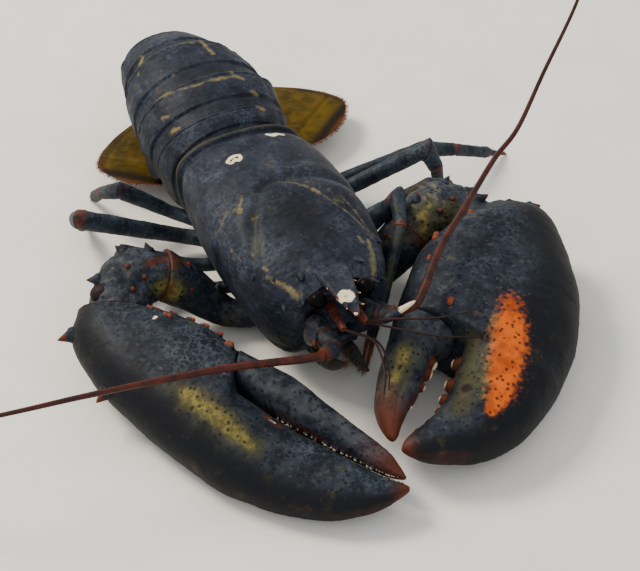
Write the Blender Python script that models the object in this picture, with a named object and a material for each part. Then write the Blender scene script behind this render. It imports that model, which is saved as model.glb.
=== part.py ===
"""American lobster, life size, resting on a floor with its tail curled under and both claws laid forward.

Frame while building: head toward -Y, the animal's left toward +X, +Z up, the floor at z = 0, and y = 0 at the
back edge of the carapace. Every size below is in millimetres; meshes are made in metres.
Each shell piece is a skin drawn over a row of closed rings. Neighbours end on the same joint plane and stand
GAP apart, so every piece stays a closed body of its own. Spines, teeth and small limbs are fused to their piece.
"""
import math
import random

import bmesh
import bpy
import numpy as np

MM = 0.001
GAP = 0.3
FLOOR = 0.0
UP = np.array([0.0, 0.0, 1.0])
AHEAD = np.array([0.0, -1.0, 0.0])
RNG = random.Random(7)

# How far the rings next to a joint take on the tilt of the joint's plane, from the joint inward
RING_TILT = (1.0, 0.6, 0.25)

# Spines: how deep the root is sunk, how much the lengths vary, and where a blunt one turns in
ROOT_SUNK = 2.5
LENGTH_SPREAD = 0.15
SHOULDER_SHARE = 0.55
SHOULDER_WIDTH = 0.8

# Carapace: from the back edge to the eye sockets
CARAPACE_LENGTH = 107.0
CARAPACE_STATIONS = (
    # distance ahead of the back edge, half width, height of the back, height of the lower edge
    (0.0, 27.8, 54.9, 15.0),
    (2.4, 28.8, 55.9, 14.8),
    (3.2, 28.3, 55.4, 14.8),
    (8.0, 29.9, 57.2, 14.6),
    (18.0, 31.8, 59.4, 14.5),
    (32.0, 33.0, 61.5, 15.0),
    (43.0, 33.2, 62.5, 15.5),
    (46.5, 32.6, 62.0, 15.5),
    (50.0, 32.8, 63.2, 16.0),
    (64.0, 31.8, 63.2, 16.5),
    (78.0, 29.2, 62.0, 17.5),
    (90.0, 25.6, 60.2, 20.0),
    (99.0, 21.4, 58.4, 24.0),
    (CARAPACE_LENGTH, 16.0, 56.0, 31.0),
)
CARAPACE_SIDES = 34
SIDE_WRAP = math.radians(138)
SIDE_LEVEL = 0.62
SHOULDER = 0.85
GROOVE_SWEEP = 22.0
GROOVE_DEPTH = 1.2
GROOVE_STATION = 7

# Rostrum: the beak between the eyes, its half widths, and the places of its side spines along it
ROSTRUM_ROOT = np.array([0.0, -94.0, 56.0])
ROSTRUM_TIP = np.array([-1.6, -130.0, 57.5])
ROSTRUM_HALF_WIDTHS = np.array([9.0, 8.0, 6.6, 5.2, 3.8, 2.4, 0.7])
ROSTRUM_SPINES = (0.45, 0.60, 0.74)
ROSTRUM_SPINE = (3.6, 1.4)
FRONT_SPINES = (
    # carapace station, degrees down from the back line, length, half width
    (12, 33.0, 6.0, 1.9),
    (13, 66.0, 6.5, 2.0),
    (12, 88.0, 4.5, 1.8),
    (11, 58.0, 3.6, 1.6),
    (10, 76.0, 3.0, 1.5),
)

# The plate above the mouth, below the antennae
MOUTH_PLATE = ((0.0, -96.0, 28.0), (0.0, -104.0, 28.0), (0.0, -109.0, 28.2), (0.0, -113.0, 28.6))
MOUTH_PLATE_HALF_WIDTHS = (13.0, 13.0, 11.0, 6.0)
MOUTH_PLATE_HALF_HEIGHTS = (4.4, 4.0, 3.4, 2.0)

# Sternum, the keel between the leg bases
STERNUM_LENGTH = 97.0
STERNUM_TOP_HALF = 17.0
STERNUM_FOOT_HALF = 9.0
STERNUM_DEPTH = 9.0

# Abdomen: the joints between its rings, along the curled tail
ABDOMEN_JOINTS = (
    # y, z, slope of the joint down in degrees, half width, thickness, sideways drift
    (0.5, 54.0, 0.0, 27.0, 37.0, 0.0),
    (12.0, 58.0, -14.0, 31.0, 38.5, 0.0),
    (34.0, 62.0, -4.0, 33.0, 38.5, 0.0),
    (60.5, 62.5, 14.0, 28.5, 36.0, -2.5),
    (82.5, 54.0, 46.0, 22.5, 31.0, -5.0),
    (94.0, 32.0, 84.0, 22.5, 28.0, 1.5),
    (90.0, 2.0, 128.0, 22.0, 16.0, 12.0),
)
PLEURON_DROP = (4.0, 9.0, 8.0, 5.0, 4.0, 3.0)
PLATE_STEP = 0.9
PLATE_PROFILE = (
    # share of the plate's length, how far it stands out, share of the side lobe
    (0.0, -PLATE_STEP, 0.0),
    (0.30, -PLATE_STEP, 0.35),
    (0.36, 0.0, 0.6),
    (0.62, 0.35, 1.0),
    (0.90, 0.3, 0.8),
    (1.0, -0.3, 0.2),
)
BELLY_SINK = 0.94
SWIMMERET_LENGTHS = {2: 8.0, 3: 8.0, 4: 6.0}
SWIMMERET_PLACE = 0.42
SWIMMERET_SUNK = 3.5
SWIMMERET_HALF_WIDTHS = (2.4, 2.6, 4.2, 1.6)
SWIMMERET_HALF_THICK = 1.1

# Tail fan, laid on the floor with its upper face down, its blades stacked
FAN_MIDDLE = 14.0
TELSON_LENGTH = 46.0
TELSON_THICK = 4.0
TELSON_HALF = 13.0
INNER_BLADE_LENGTH = 46.0
INNER_BLADE_HALF = 13.0
INNER_BLADE_HEADING = 16.0
INNER_BLADE_ROOT = (9.5, 0.0, 4.3)
OUTER_BLADE_LENGTH = 54.0
OUTER_BLADE_HALF = 20.8
OUTER_BLADE_HEADING = 40.0
OUTER_BLADE_ROOT = (16.5, -8.0, 7.9)
BLADE_THICK = 2.6
BLADE_CORNERS = 3.0
RIB_HALF_WIDTH = 1.6
RIB_RISE = 0.9
TELSON_OUTLINE = (
    # share of the length, share of the half width, share of the thickness
    (0.0, 0.70, 1.0),
    (0.2, 0.92, 0.93),
    (0.45, 1.0, 0.85),
    (0.7, 0.97, 0.76),
    (0.9, 0.86, 0.68),
    (1.0, 0.60, 0.62),
)
INNER_OUTLINE = (
    (0.0, 0.31, 1.0),
    (0.2, 0.66, 0.93),
    (0.4, 0.88, 0.86),
    (0.6, 1.0, 0.80),
    (0.8, 0.95, 0.70),
    (0.93, 0.78, 0.62),
    (1.0, 0.48, 0.55),
)
OUTER_OUTLINE = (
    # the step in thickness is the cross joint of the outer blade
    (0.0, 0.28, 1.0),
    (0.15, 0.62, 0.95),
    (0.35, 0.85, 0.92),
    (0.55, 0.97, 0.90),
    (0.70, 1.0, 0.90),
    (0.73, 0.99, 0.62),
    (0.90, 0.84, 0.52),
    (1.0, 0.45, 0.45),
)

# Walking legs: side, pair, hip ahead of the back edge, then outer hip, knee, wrist and tip, and thickness
LEGS = (
    ("left", 1, 1, 46.0, ((29, -47, 11), (52, -54, 41), (46, -70, 39), (13, -107, 0.15)), 3.6),
    ("left", 1, 2, 31.0, ((31, -32, 10), (76, -36, 26), (87, -33, 20), (93, -30, 0.15)), 3.7),
    ("left", 1, 3, 17.0, ((31, -10, 10), (82, -21, 34), (87, -22, 22), (91, -20, 0.15)), 3.9),
    ("left", 1, 4, 5.0, ((31, 0, 9), (87, -8, 23), (103, -9, 18), (134, -2, 0.15)), 3.5),
    ("right", -1, 1, 46.0, ((-29, -42, 9), (-52, -30, 14), (-60, -43, 11), (-58, -72, 0.15)), 3.4),
    ("right", -1, 2, 31.0, ((-31, -26, 10), (-60, -17, 20), (-71, -26, 14), (-77, -34, 0.15)), 3.5),
    ("right", -1, 3, 17.0, ((-29, -6, 10), (-73, 0, 30), (-72, 11, 21), (-62, 28, 0.15)), 4.2),
    ("right", -1, 4, 5.0, ((-26, 10, 9.5), (-50, 14, 28), (-55, 25, 20), (-54, 46, 0.15)), 3.5),
)
LEG_NARROWING = 0.85
THIGH_SIZES = np.array([0.95, 0.92, 0.88, 0.85, 0.95, 1.0, 1.05, 0.95])
SHIN_SIZES = np.array([0.95, 1.0, 0.92, 0.74])
FOOT_PLACES = (0.0, 0.18, 0.4, 0.62, 0.66, 0.85, 1.0)
FOOT_SIZES = np.array([0.74, 0.78, 0.74, 0.62, 0.5, 0.3, 0.14])
PINCER_PAIRS = (1, 2)
THUMB_PLACES = (0.5, 0.66, 0.82, 0.94)
THUMB_OFFSETS = (0.1, 0.5, 0.65, 0.5)
THUMB_SIZES = np.array([0.38, 0.40, 0.26, 0.12])

# Claw-bearing legs: the arm from the hip to the waist, then the middle of the wrist
CLAW_HIP = 62.0
CUTTER_ARM = ((-21.0, -62.0, 8.0), (-31.0, -57.5, 10.0), (-43.0, -50.0, 20.5), (-53.0, -46.5, 29.0))
CUTTER_WRIST = (-67.0, -45.0, 30.0)
CRUSHER_ARM = ((21.0, -66.0, 8.0), (31.0, -66.0, 9.0), (43.5, -63.5, 17.5), (54.7, -61.0, 26.0))
CRUSHER_WRIST = (70.5, -56.5, 30.0)
ARM_SIZES = np.array([5.0, 5.2, 5.4, 5.6, 6.4, 7.6, 8.8, 9.8, 9.6])
ARM_FLATTENING = 0.9
WRIST_HALF_WIDTHS = np.array([9.5, 11.0, 12.2, 12.8, 13.0, 13.0, 12.8, 12.0])
WRIST_HALF_HEIGHTS = np.array([8.8, 10.2, 11.0, 11.2, 11.2, 11.0, 10.6, 10.0])

# Claws: the joint at the wrist, the tip, and how far the inner edge is rolled up
CUTTER_ROOT = np.array([-82.0, -46.0, 25.0])
CUTTER_TIP = np.array([-18.0, -190.0, 10.0])
CUTTER_ROLL = 13.0
CRUSHER_ROOT = np.array([84.0, -58.0, 27.0])
CRUSHER_TIP = np.array([40.0, -184.0, 13.0])
CRUSHER_ROLL = 8.0
CLAW_CORNERS = 2.3

# Claw outlines from above, as (along, inward) points on each edge, with half thicknesses from wrist to tip
CUTTER_SHAPE = {
    "palm_outer": ((-1.5, -11.0), (8.0, -23.0), (30.0, -30.5), (62.0, -33.5), (100.0, -33.0)),
    "palm_inner": ((24.0, 9.5), (32.0, 13.5), (42.0, 16.5), (54.0, 18.5), (66.5, 17.5)),
    "palm_heights": (10.5, 13.5, 15.5, 16.0, 15.0),
    "fixed_outer": ((100.6, -32.8), (122.0, -27.0), (142.5, -16.5), (155.0, -2.0), (160.0, 14.0)),
    "fixed_inner": ((77.2, 2.8), (101.0, 3.4), (124.0, 6.9), (145.0, 10.6), (159.0, 15.2)),
    "fixed_heights": (14.7, 11.8, 8.7, 5.6, 0.9),
    "hinged_outer": ((67.1, 17.9), (94.0, 22.0), (120.0, 21.8), (142.0, 21.0), (155.2, 17.6)),
    "hinged_inner": ((76.0, 4.8), (101.0, 6.0), (124.0, 9.6), (144.5, 13.1), (154.8, 16.5)),
    "hinged_heights": (11.5, 11.0, 8.5, 5.5, 0.9),
}
CRUSHER_SHAPE = {
    "palm_outer": ((0.0, -17.0), (9.0, -35.0), (48.0, -41.0), (80.0, -36.0), (104.0, -25.0)),
    "palm_inner": ((19.0, 11.0), (30.0, 24.5), (47.0, 32.5), (58.0, 37.0), (66.5, 39.5)),
    "palm_heights": (12.5, 18.5, 21.0, 21.0, 19.0),
    "fixed_outer": ((104.6, -24.6), (125.5, -8.0), (137.0, 12.0), (137.5, 30.0), (133.6, 43.4)),
    "fixed_inner": ((82.2, 12.8), (92.0, 16.0), (104.0, 20.5), (115.0, 27.0), (124.0, 34.5), (132.0, 43.0)),
    "fixed_heights": (18.2, 14.5, 11.0, 7.5, 0.9),
    "hinged_outer": ((67.2, 40.0), (84.0, 45.0), (98.0, 49.2), (112.0, 51.0), (128.8, 47.6)),
    "hinged_inner": ((80.8, 16.0), (88.5, 26.4), (97.0, 30.5), (106.0, 34.2), (114.0, 39.2), (121.5, 43.2),
                     (129.4, 46.4)),
    "hinged_heights": (14.0, 13.5, 11.0, 8.0, 0.9),
}

# Spines of the palms: edge, shares along it, degrees up from the edge, length, half width
CUTTER_PALM_SPINES = (
    ("palm_inner", (0.08, 0.28, 0.48, 0.62, 0.76), 20.0, 3.4, 2.1),
    ("palm_inner", (0.18, 0.40), 50.0, 2.4, 2.0),
    ("palm_inner", (0.90,), 30.0, 4.4, 2.8),
    ("palm_outer", (0.20, 0.56), 8.0, 6.0, 2.7),
)
CRUSHER_PALM_SPINES = (
    ("palm_inner", (0.10, 0.27, 0.44, 0.62), 38.0, 3.0, 2.4),
    ("palm_inner", (0.75,), 62.0, 3.0, 3.2),
    ("palm_outer", (0.04, 0.15), 20.0, 3.8, 2.5),
)

# Teeth of the fingers: first and last share of the edge, count, length, half width, and whether they are blunt
CUTTER_TEETH = (0.20, 0.93, 13, 1.3, 1.5, False)
CRUSHER_TEETH = (0.22, 0.90, 7, 3.2, 3.6, True)

# Spines of the wrists and arms: share along, degrees from the front side over the top, length, half width
RIGHT_WRIST_SPINES = (
    (0.25, 120.0, 4.5, 2.1),
    (0.45, 135.0, 5.0, 2.2),
    (0.70, 146.0, 6.0, 2.4),
    (0.55, 84.0, 3.4, 2.1),
    (0.80, 60.0, 3.6, 2.2),
    (0.40, 40.0, 3.4, 2.1),
)
LEFT_WRIST_SPINES = (
    (0.30, 100.0, 4.0, 2.1),
    (0.55, 128.0, 5.0, 2.3),
    (0.72, 148.0, 5.5, 2.4),
    (0.86, 124.0, 5.0, 2.4),
    (0.66, 74.0, 3.6, 2.2),
    (0.44, 45.0, 3.6, 2.2),
)
ARM_SPINES = (
    (0.86, 95.0, 4.5, 2.0),
    (0.80, 40.0, 3.6, 1.8),
    (0.62, 105.0, 3.0, 1.6),
)
SPINE_LEAN = 0.45

# Antennae: the jointed base from the front of the carapace, then the route of the whip
ANTENNA_THICK = 3.8
ANTENNA_TIP_THICK = 1.0
ANTENNA_STEPS = 45
ANTENNA_BASE_SIZES = (4.6, 4.9, 4.4, 4.4, 4.5, 4.0, 3.8, 3.3, 2.8)
SCALE_SPINE = (11.0, 2.9)
RIGHT_ANTENNA_BASE = (
    (-10.5, -CARAPACE_LENGTH - GAP, 37.5),
    (-10.0, -116.5, 38.0),
    (-10.5, -125.0, 38.8),
    (-16.0, -128.8, 40.0),
)
RIGHT_ANTENNA_ROUTE = (
    (-25.0, -128.6, 41.2),
    (-54.0, -124.0, 44.0),
    (-86.0, -121.0, 46.0),
    (-115.0, -117.5, 46.0),
    (-145.0, -113.5, 45.0),
    (-195.0, -103.0, 41.0),
    (-240.0, -87.0, 35.0),
)
LEFT_ANTENNA_BASE = (
    (10.5, -CARAPACE_LENGTH - GAP, 38.0),
    (10.5, -114.0, 41.0),
    (13.0, -120.5, 44.0),
    (18.5, -123.4, 46.0),
)
LEFT_ANTENNA_ROUTE = (
    (26.5, -124.0, 47.5),
    (33.0, -118.5, 49.0),
    (42.5, -108.0, 51.5),
    (53.0, -98.0, 53.5),
    (68.0, -86.0, 56.0),
    (89.5, -69.0, 61.0),
    (105.5, -59.5, 66.0),
    (127.5, -40.0, 75.0),
    (160.0, -10.0, 85.0),
    (187.5, 23.0, 92.0),
    (214.0, 63.0, 96.0),
)
ANTENNULE_END = np.array([5.0, -124.0, 46.0])
ANTENNULE_SIZES = (2.0, 2.1, 1.8, 1.8, 1.3)
ANTENNULE_WHIP_SIZES = np.linspace(0.8, 0.4, 16)
RIGHT_ANTENNULE_WHIPS = (
    ((4.0, -134.0, 44.0), (2.0, -148.0, 40.0), (-4.0, -160.0, 42.0)),
    ((5.5, -133.0, 43.0), (6.0, -143.0, 38.0), (2.0, -152.0, 35.0)),
)
LEFT_ANTENNULE_WHIPS = (
    ((12.0, -130.0, 46.0), (28.0, -143.0, 46.0), (43.0, -150.0, 46.0)),
    ((13.0, -128.5, 48.5), (30.0, -138.0, 51.0), (46.0, -143.0, 54.0)),
)

# Eyes and the outer mouth legs
EYE_ROOT = np.array([9.6, -CARAPACE_LENGTH - GAP, 50.5])
EYE_BALL = np.array([11.5, -113.0, 54.5])
EYE_STEPS = (-4.0, -2.6, -1.2, 0.4, 2.2, 3.4)
EYE_SIZES = (2.4, 2.5, 2.9, 3.3, 3.5, 2.8, 0.9)
MOUTH_LEG_SIZES = np.array([3.2, 3.6, 3.8, 3.6, 3.2, 2.8, 2.3, 1.7, 0.8])
RIGHT_MOUTH_LEG = ((-6.5, -106.3, 15.5), (-5.0, -114.0, 17.5), (-2.5, -119.5, 22.0))
LEFT_MOUTH_LEG = ((6.5, -106.3, 14.5), (7.0, -114.5, 14.5), (7.0, -122.0, 16.5))

SHELL_COLOUR = (0.020, 0.026, 0.042, 1.0)
FAN_COLOUR = (0.140, 0.090, 0.015, 1.0)
ANTENNA_COLOUR = (0.120, 0.020, 0.010, 1.0)
CORNEA_COLOUR = (0.004, 0.004, 0.004, 1.0)


def unit(vector):
    """The vector at length one."""
    return vector / np.linalg.norm(vector)


def material(name, colour, roughness):
    """A plain Principled material."""
    made = bpy.data.materials.new(name)
    made.use_nodes = True
    shader = made.node_tree.nodes["Principled BSDF"]
    shader.inputs["Base Color"].default_value = colour
    shader.inputs["Roughness"].default_value = roughness
    return made


def skin_faces(rows, sides):
    """Triangles over a row of rings, with a fan to a middle point at each end."""
    faces = []
    for row in range(rows - 1):
        for side in range(sides):
            a = row * sides + side
            b = row * sides + (side + 1) % sides
            faces.append((a, b, b + sides))
            faces.append((a, b + sides, a + sides))
    first = rows * sides
    last = first + 1
    for side in range(sides):
        after = (side + 1) % sides
        faces.append((first, after, side))
        faces.append((last, (rows - 1) * sides + side, (rows - 1) * sides + after))
    return faces


def signed_volume(vertices, faces):
    """Six times the volume inside the faces, negative where they point in."""
    corners = vertices[np.array(faces)]
    return np.einsum("ij,ij->i", corners[:, 0], np.cross(corners[:, 1], corners[:, 2])).sum()


def piece(name, rings, finish, ends=None):
    """A closed object skinned over rings, an array of rows by sides by 3, in millimetres.

    ends are the middle points of the two caps, which lie in the first and last ring unless given.
    """
    rows, sides, _ = rings.shape
    if ends is None:
        ends = (rings[0].mean(axis=0), rings[-1].mean(axis=0))
    vertices = np.concatenate([rings.reshape(-1, 3), np.array(ends)])
    vertices[:, 2] = np.maximum(vertices[:, 2], FLOOR)
    faces = skin_faces(rows, sides)
    if signed_volume(vertices, faces) < 0:
        faces = [face[::-1] for face in faces]
    mesh = bpy.data.meshes.new(name)
    mesh.from_pydata((vertices * MM).tolist(), [], faces)
    mesh.materials.append(finish)
    mesh.shade_smooth()
    mesh.set_sharp_from_angle(angle=math.radians(40))
    made = bpy.data.objects.new(name, mesh)
    bpy.context.scene.collection.objects.link(made)
    return made


def fuse(base, extras):
    """Joins the extras to the base with one Boolean union and keeps the largest closed surface."""
    group = bpy.data.collections.new(base.name + " extras")
    bpy.context.scene.collection.children.link(group)
    for extra in extras:
        bpy.context.scene.collection.objects.unlink(extra)
        group.objects.link(extra)
    union = base.modifiers.new("union", "BOOLEAN")
    union.operation = "UNION"
    union.operand_type = "COLLECTION"
    union.collection = group
    union.solver = "MANIFOLD"
    bpy.context.view_layer.update()
    joined = bpy.data.meshes.new_from_object(base.evaluated_get(bpy.context.evaluated_depsgraph_get()))
    base.modifiers.clear()
    base.data = joined
    for extra in extras:
        bpy.data.objects.remove(extra)
    bpy.data.collections.remove(group)
    keep_largest(joined)


def keep_largest(mesh):
    """Removes every surface of the mesh but the one with the most volume."""
    work = bmesh.new()
    work.from_mesh(mesh)
    seen = set()
    shells = []
    for start in work.verts:
        if start in seen:
            continue
        seen.add(start)
        shell = [start]
        for vertex in shell:
            for edge in vertex.link_edges:
                other = edge.other_vert(vertex)
                if other not in seen:
                    seen.add(other)
                    shell.append(other)
        shells.append(shell)
    if len(shells) > 1:
        shells.sort(key=shell_size)
        loose = [vertex for shell in shells[:-1] for vertex in shell]
        bmesh.ops.delete(work, geom=loose, context="VERTS")
    work.to_mesh(mesh)
    work.free()


def shell_size(shell):
    """Volume inside a connected set of vertices."""
    faces = {face for vertex in shell for face in vertex.link_faces}
    total = 0.0
    for face in faces:
        first, *rest = [vertex.co for vertex in face.verts]
        for second, third in zip(rest, rest[1:]):
            total += first.dot(second.cross(third))
    return abs(total)


def oval(sides, power=2.0):
    """Unit oval as two arrays; a power above 2 squares its corners."""
    turn = np.linspace(0.0, 2.0 * np.pi, sides, endpoint=False)
    across = np.sign(np.cos(turn)) * np.abs(np.cos(turn)) ** (2.0 / power)
    rise = np.sign(np.sin(turn)) * np.abs(np.sin(turn)) ** (2.0 / power)
    return across, rise


def spine(root, way, length, half_width, finish, blunt=False):
    """A pointed spine or a blunt knob that stands on the point root, its own root sunk below it."""
    length = length * (1.0 + RNG.uniform(-LENGTH_SPREAD, LENGTH_SPREAD))
    way = unit(way)
    across = unit(np.cross(way, UP + 0.3 * AHEAD))
    over = np.cross(way, across)
    cos_side, sin_side = oval(6 if blunt else 5)
    ring = np.outer(cos_side * half_width, across) + np.outer(sin_side * half_width, over)
    sunk = root - way * ROOT_SUNK
    rings = [sunk + ring]
    if blunt:
        rings.append(root + way * length * SHOULDER_SHARE + ring * SHOULDER_WIDTH)
    return piece("spine", np.array(rings), finish, (sunk, root + way * length))


def slide_to_plane(points, along, origin, normal):
    """Moves points in the direction along until they lie on the plane."""
    reach = ((origin - points) @ normal) / (along @ normal)
    return points + reach[:, None] * along


def smooth_path(points, count):
    """Points on a Catmull-Rom curve through the given ones, evenly spread in the parameter."""
    points = np.asarray(points, float)
    padded = np.vstack([2 * points[0] - points[1], points, 2 * points[-1] - points[-2]])
    place = np.linspace(0.0, len(points) - 1.0, count)
    span = np.minimum(place.astype(int), len(points) - 2)
    t = (place - span)[:, None]
    a, b, c, d = (padded[span + shift] for shift in range(4))
    return 0.5 * (2 * b + (c - a) * t + (2 * a - 5 * b + 4 * c - d) * t**2 + (3 * b - a - 3 * c + d) * t**3)


def limb_rings(path, across, rise, sides, start=None, end=None):
    """Oval rings along a path. start and end are joint planes (point, normal) that cut the two ends."""
    path = np.asarray(path, float)
    rows = len(path)
    across = np.broadcast_to(np.asarray(across, float), rows)
    rise = np.broadcast_to(np.asarray(rise, float), rows)
    tangents = np.gradient(path, axis=0)
    cos_side, sin_side = oval(sides)
    rings = np.empty((rows, sides, 3))
    for row in range(rows):
        along = unit(tangents[row])
        side = unit(np.cross(along, UP))
        over = np.cross(side, along)
        ring = path[row] + np.outer(cos_side * across[row], side) + np.outer(sin_side * rise[row], over)
        for plane, steps in ((start, row), (end, rows - 1 - row)):
            if plane is None or steps >= len(RING_TILT):
                continue
            origin = path[row] if steps else plane[0]
            ring = ring + (slide_to_plane(ring, along, origin, plane[1]) - ring) * RING_TILT[steps]
        rings[row] = ring
    return rings


def limb_spines(rings, table, side, finish):
    """Spines on a limb, each at a share of its length and an angle from its front side over the top."""
    rows, sides, _ = rings.shape
    made = []
    for share, degrees, length, half_width in table:
        row = min(round(share * (rows - 1)), rows - 2)
        turn = degrees if side > 0 else 180.0 - degrees
        root = rings[row, round(turn / 360.0 * sides) % sides]
        middle = rings[row].mean(axis=0)
        along = unit(rings[row + 1].mean(axis=0) - middle)
        made.append(spine(root, unit(root - middle) + SPINE_LEAN * along, length, half_width, finish))
    return made


def joint_plane(before, joint, after):
    """The plane that halves the bend of a limb at a joint."""
    return joint, unit(unit(joint - before) + unit(after - joint))


def shifted(plane, distance):
    """The same plane moved along its normal."""
    point, normal = plane
    return point + normal * distance, normal


def carapace_arch():
    """For every carapace station: its row of sizes, and how far forward each point of its arch is swept."""
    ahead, half, top, hem = np.array(CARAPACE_STATIONS).T
    arch = np.linspace(-SIDE_WRAP, SIDE_WRAP, CARAPACE_SIDES)
    bulge = np.sin(np.pi * ahead / CARAPACE_LENGTH) ** 0.8
    sweep = GROOVE_SWEEP * np.outer(bulge, (np.abs(arch) / SIDE_WRAP) ** 1.3)
    return arch, ahead, half, top, hem, sweep


def carapace_rings():
    """The head and body shield: arched rings whose line bends forward down the sides along the neck groove."""
    arch, ahead, half, top, hem, sweep = carapace_arch()
    middle = hem + SIDE_LEVEL * (top - hem)
    rings = []
    for row in range(len(ahead)):
        x = half[row] * np.sign(arch) * np.abs(np.sin(arch)) ** SHOULDER
        lower = (middle[row] - hem[row]) / abs(math.cos(SIDE_WRAP)) ** SHOULDER
        reach = np.where(np.cos(arch) > 0, top[row] - middle[row], lower)
        z = middle[row] + reach * np.sign(np.cos(arch)) * np.abs(np.cos(arch)) ** SHOULDER
        if row == GROOVE_STATION:
            squeeze = 1.0 - GROOVE_DEPTH / half[row]
            x = x * squeeze
            z = middle[row] + (z - middle[row]) * squeeze
            z[[0, -1]] = hem[row]
        arched = np.stack([x, -(ahead[row] + sweep[row]), z], axis=1)
        under = np.linspace(arched[-1], arched[0], 5)[1:-1]
        rings.append(np.vstack([arched, under]))
    return np.array(rings)


def belly_height(ahead):
    """Height of the flat underside of the carapace at a distance ahead of its back edge."""
    _, stations, _, _, hem, sweep = carapace_arch()
    return float(np.interp(ahead, stations + sweep[:, 0], hem)) - GAP


def make_rostrum(finish):
    """The pointed beak between the eyes and the spines along its two edges."""
    shares = np.linspace(0.0, 1.0, len(ROSTRUM_HALF_WIDTHS))
    path = ROSTRUM_ROOT + np.outer(shares, ROSTRUM_TIP - ROSTRUM_ROOT)
    path[:, 2] += 0.8 * np.sin(np.pi * shares)
    rings = limb_rings(path, ROSTRUM_HALF_WIDTHS, 0.35 * ROSTRUM_HALF_WIDTHS + 0.5, 10)
    made = [piece("rostrum", rings, finish)]
    for share in ROSTRUM_SPINES:
        middle = ROSTRUM_ROOT + (ROSTRUM_TIP - ROSTRUM_ROOT) * share
        half = float(np.interp(share, shares, ROSTRUM_HALF_WIDTHS))
        for side in (-1, 1):
            root = middle + np.array([side * half * 0.8, 0.0, 0.8])
            made.append(spine(root, np.array([side * 0.75, -1.0, 0.45]), *ROSTRUM_SPINE, finish))
    return made


def make_carapace(finish):
    """The carapace with the rostrum drawn out between the eyes, and the spines beside and behind them."""
    rings = carapace_rings()
    shield = piece("carapace", rings, finish)
    extras = make_rostrum(finish)
    plate = limb_rings(MOUTH_PLATE, MOUTH_PLATE_HALF_WIDTHS, MOUTH_PLATE_HALF_HEIGHTS, 12)
    extras.append(piece("mouth plate", plate, finish))
    for station, degrees, length, half_width in FRONT_SPINES:
        for side in (-1, 1):
            turn = 0.5 + side * math.radians(degrees) / SIDE_WRAP / 2
            root = rings[station, round(turn * (CARAPACE_SIDES - 1))] - AHEAD
            out = unit(root - rings[station, :CARAPACE_SIDES].mean(axis=0))
            extras.append(spine(root, AHEAD + 0.55 * out + 0.2 * UP, length, half_width, finish))
    fuse(shield, extras)


def make_sternum(finish):
    """The keel under the carapace, whose sloped sides carry the legs."""
    _, stations, _, _, _, sweep = carapace_arch()
    edges = stations + sweep[:, 0]
    rings = []
    for ahead in (GAP, *edges[(edges > GAP) & (edges < STERNUM_LENGTH)], STERNUM_LENGTH):
        taper = 1.0 - 0.25 * (ahead / STERNUM_LENGTH) ** 6
        top = belly_height(ahead)
        foot = top - STERNUM_DEPTH
        wide = STERNUM_TOP_HALF * taper
        narrow = STERNUM_FOOT_HALF * taper
        rings.append([(-wide, -ahead, top), (wide, -ahead, top), (narrow, -ahead, foot), (-narrow, -ahead, foot)])
    piece("sternum", np.array(rings, float), finish)


def hip(side, ahead):
    """Middle of the sternum's sloped side at a leg base, with that side's outward normal."""
    top = belly_height(ahead)
    middle = np.array([side * (STERNUM_TOP_HALF + STERNUM_FOOT_HALF) / 2, -ahead, top - STERNUM_DEPTH / 2])
    slope = np.array([side * (STERNUM_TOP_HALF - STERNUM_FOOT_HALF), 0.0, STERNUM_DEPTH])
    run = np.array([0.0, -1.0, (belly_height(ahead + 5.0) - belly_height(ahead - 3.0)) / 8.0])
    normal = unit(np.cross(slope, run))
    if normal[0] * side < 0:
        normal = -normal
    return middle, normal


def abdomen_axes(slope):
    """The directions inward to the belly and back along the curl, at a joint of the given slope."""
    lean = math.radians(slope)
    inward = np.array([0.0, -math.sin(lean), -math.cos(lean)])
    backward = np.array([0.0, math.cos(lean), -math.sin(lean)])
    return inward, backward


def abdomen_ring(joint, swell, drop):
    """One C-shaped ring: the arched plate, the side lobes hanging drop below, and the belly between them."""
    y, z, slope, half, thick, drift = joint
    inward, _ = abdomen_axes(slope)
    angle = np.linspace(-1.0, 1.0, 17) * math.radians(96)
    arch = (half + swell) * np.sign(angle) * np.abs(np.sin(angle)) ** 0.9
    depth = thick * 0.62 * (1.0 - np.cos(angle)) - swell
    edge = half * 0.90
    inner = half * 0.74
    x = np.concatenate([[-edge], arch, [edge, inner, inner * 0.9, 0.0, -inner * 0.9, -inner]])
    lobe = thick + drop * 0.75
    notch = thick + drop * 0.7 - 1.0
    depth = np.concatenate([[lobe], depth, [lobe, notch, thick, thick * BELLY_SINK, thick, notch]])
    origin = np.array([drift, y, z])
    return origin + np.outer(x, [1.0, 0.0, 0.0]) + np.outer(depth, inward)


def between(first, second, share):
    """A joint row part of the way from one to the next."""
    return tuple(a + (b - a) * share for a, b in zip(first, second))


def make_swimmerets(joint, length, finish):
    """The pair of small paddles under one abdomen plate, pointing in and back along the curl."""
    y, z, slope, half, thick, drift = joint
    inward, backward = abdomen_axes(slope)
    way = unit(inward + 0.25 * backward)
    sideways = np.array([1.0, 0.0, 0.0])
    cos_side, sin_side = oval(8)
    made = []
    for side in (-1, 1):
        root = np.array([drift + side * half * SWIMMERET_PLACE, y, z]) + inward * (thick - SWIMMERET_SUNK)
        steps = (0.0, SWIMMERET_SUNK, SWIMMERET_SUNK + length / 2, SWIMMERET_SUNK + length)
        thin = SWIMMERET_HALF_THICK * np.cross(way, sideways)
        rings = [
            root + way * step + np.outer(cos_side * wide, sideways) + np.outer(sin_side, thin)
            for step, wide in zip(steps, SWIMMERET_HALF_WIDTHS)
        ]
        made.append(piece("swimmeret", np.array(rings), finish))
    return made


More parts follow.
